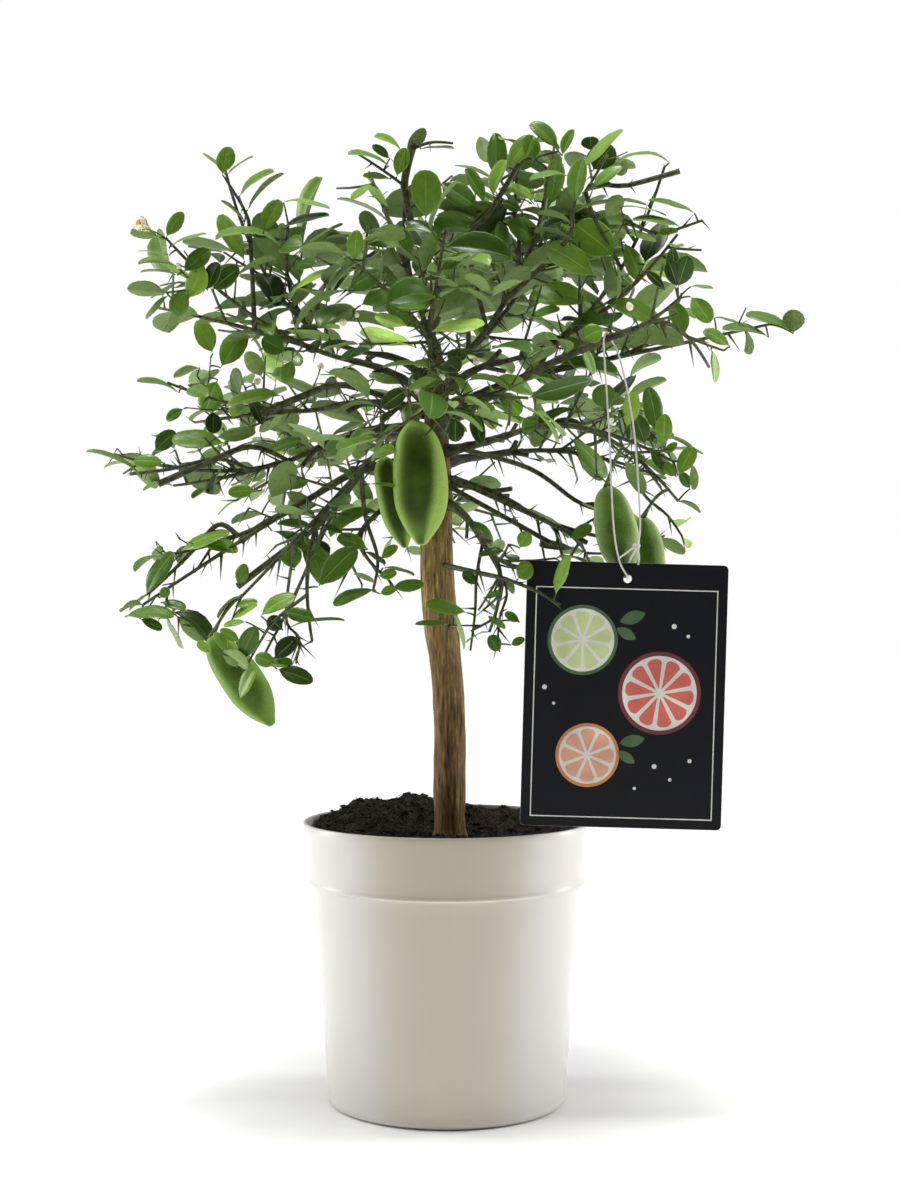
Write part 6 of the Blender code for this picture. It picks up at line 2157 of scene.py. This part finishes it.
    def string(self, look):
        """Two plies twisted round the loop over the bough, a knot above the hole and two ends."""
        over, radius = tag_bough_point()
        turn = Matrix.Rotation(math.radians(TAG_TURN), 3, "Y")
        hole = TAG_CENTRE + turn @ Vector((0, 0, TAG_HEIGHT / 2 - TAG_HOLE_DROP))
        aside = slope(named(BOUGHS, "bough_tag").heading + 90, 0)
        off = radius + GAP + STRING_RADIUS
        fall = over.z - hole.z
        knot_at = hole + Vector((5.5, 0, TAG_HOLE_DROP + 10))
        lift = TAG_THICKNESS / 2 + GAP + STRING_RADIUS + 0.4
        points = [
            over + UP * off,
            over + aside * off + UP * off * 0.2,
            over + Vector((8.5, -1.5, -fall * 0.1)),
            over + Vector((16.5, -2, -fall * 0.38)),
            over + Vector((20.5, -1, -fall * 0.76)),
            knot_at,
            hole + Vector((1.5, lift, 11)),
            hole + Vector((0.6, lift, 2.5)),
            hole,
            hole + Vector((-0.8, -lift, 2.5)),
            hole + Vector((-5.5, -lift, 12)),
            over + Vector((3.6, -2, -fall * 0.76)),
            over + Vector((1, -1.5, -fall * 0.38)),
            over - aside * off + Vector((0, -0.5, -fall * 0.07)),
            over - aside * off + UP * off * 0.2,
        ]
        loop = through(points, 10)
        loop.append(loop[0].copy())
        knot = [
            knot_at + Vector((1.5 * (math.sin(t) + 1.5 * math.sin(2 * t)) * 0.6,
                              1.3 * -math.sin(3 * t),
                              1.6 * (math.cos(t) - 1.5 * math.cos(2 * t)) * 0.6))
            for t in (math.tau * i / 36 for i in range(37))
        ]
        tails = [
            [knot_at + Vector(place_at) for place_at in tail]
            for tail in (((0, 0, 0), (1.2, -1, -3), (1.6, -1.5, -7), (1, -1.2, -11)),
                         ((0, 0, 0), (-4, -2, -2), (-8, -2.5, -5), (-11, -2, -7)))
        ]
        bunch = Bunch()
        for line in [loop, knot, *[through(tail, 8, closed=False) for tail in tails]]:
            line = resampled(line, STRING_STEP)
            for start in (0, math.pi):
                self.ply(bunch, line, start)
        return bunch.make("cotton_string", [spun_cotton(tuple(look.string_colour))])

    def ply(self, bunch, line, start):
        """One strand that winds round a line."""
        turns = wound_round(
            line, [0.32] * len(line),
            lambda i: [start + math.tau * i * STRING_STEP / PLY_PITCH],
        )
        add_tube(bunch, [spot for [spot] in turns], [0.38] * len(line), 5, 0)

    def execute(self, context):
        look = context.scene.lime_tag
        stand_for(self.to_plant(self.card(look)), ["tag_card"])
        stand_for(self.to_plant(self.print_on()), ["tag_card"])
        stand_for(self.string(look), ["tag_string"])
        return {"FINISHED"}


class FINGER_LIME_PT_sidebar(bpy.types.Panel):
    """The pieces of the tree, in the order they are made, with their sizes and colours"""

    bl_idname = "FINGER_LIME_PT_sidebar"
    bl_label = "Potted finger lime tree"
    bl_space_type = "VIEW_3D"
    bl_region_type = "UI"
    bl_category = "Finger lime"

    def draw(self, context):
        for operator, settings in PIECES:
            box = self.layout.box()
            box.operator(operator.bl_idname)
            if settings:
                group = getattr(context.scene, settings)
                for key in type(group).__annotations__:
                    box.prop(group, key)


SETTINGS = (
    ("lime_stage", StageSettings),
    ("lime_pot", PotSettings),
    ("lime_wood", WoodSettings),
    ("lime_foliage", FoliageSettings),
    ("lime_fruit", FruitSettings),
    ("lime_tag", TagSettings),
)
PIECES = (
    (FINGER_LIME_OT_stage, "lime_stage"),
    (FINGER_LIME_OT_pot, "lime_pot"),
    (FINGER_LIME_OT_soil, ""),
    (FINGER_LIME_OT_wood, "lime_wood"),
    (FINGER_LIME_OT_foliage, "lime_foliage"),
    (FINGER_LIME_OT_fruits, "lime_fruit"),
    (FINGER_LIME_OT_tag, "lime_tag"),
)


def register():
    for name, group in SETTINGS:
        bpy.utils.register_class(group)
        setattr(bpy.types.Scene, name, bpy.props.PointerProperty(type=group))
    for operator, _ in PIECES:
        bpy.utils.register_class(operator)
    bpy.utils.register_class(FINGER_LIME_PT_sidebar)


def unregister():
    bpy.utils.unregister_class(FINGER_LIME_PT_sidebar)
    for operator, _ in reversed(PIECES):
        bpy.utils.unregister_class(operator)
    for name, group in reversed(SETTINGS):
        delattr(bpy.types.Scene, name)
        bpy.utils.unregister_class(group)


def main():
    register()
    bpy.ops.finger_lime.stage()
    bpy.ops.finger_lime.pot()
    bpy.ops.finger_lime.soil()
    bpy.ops.finger_lime.wood()
    bpy.ops.finger_lime.foliage()
    bpy.ops.finger_lime.fruits()
    bpy.ops.finger_lime.tag()
    bpy.context.view_layer.update()


if __name__ == "__main__":
    main()
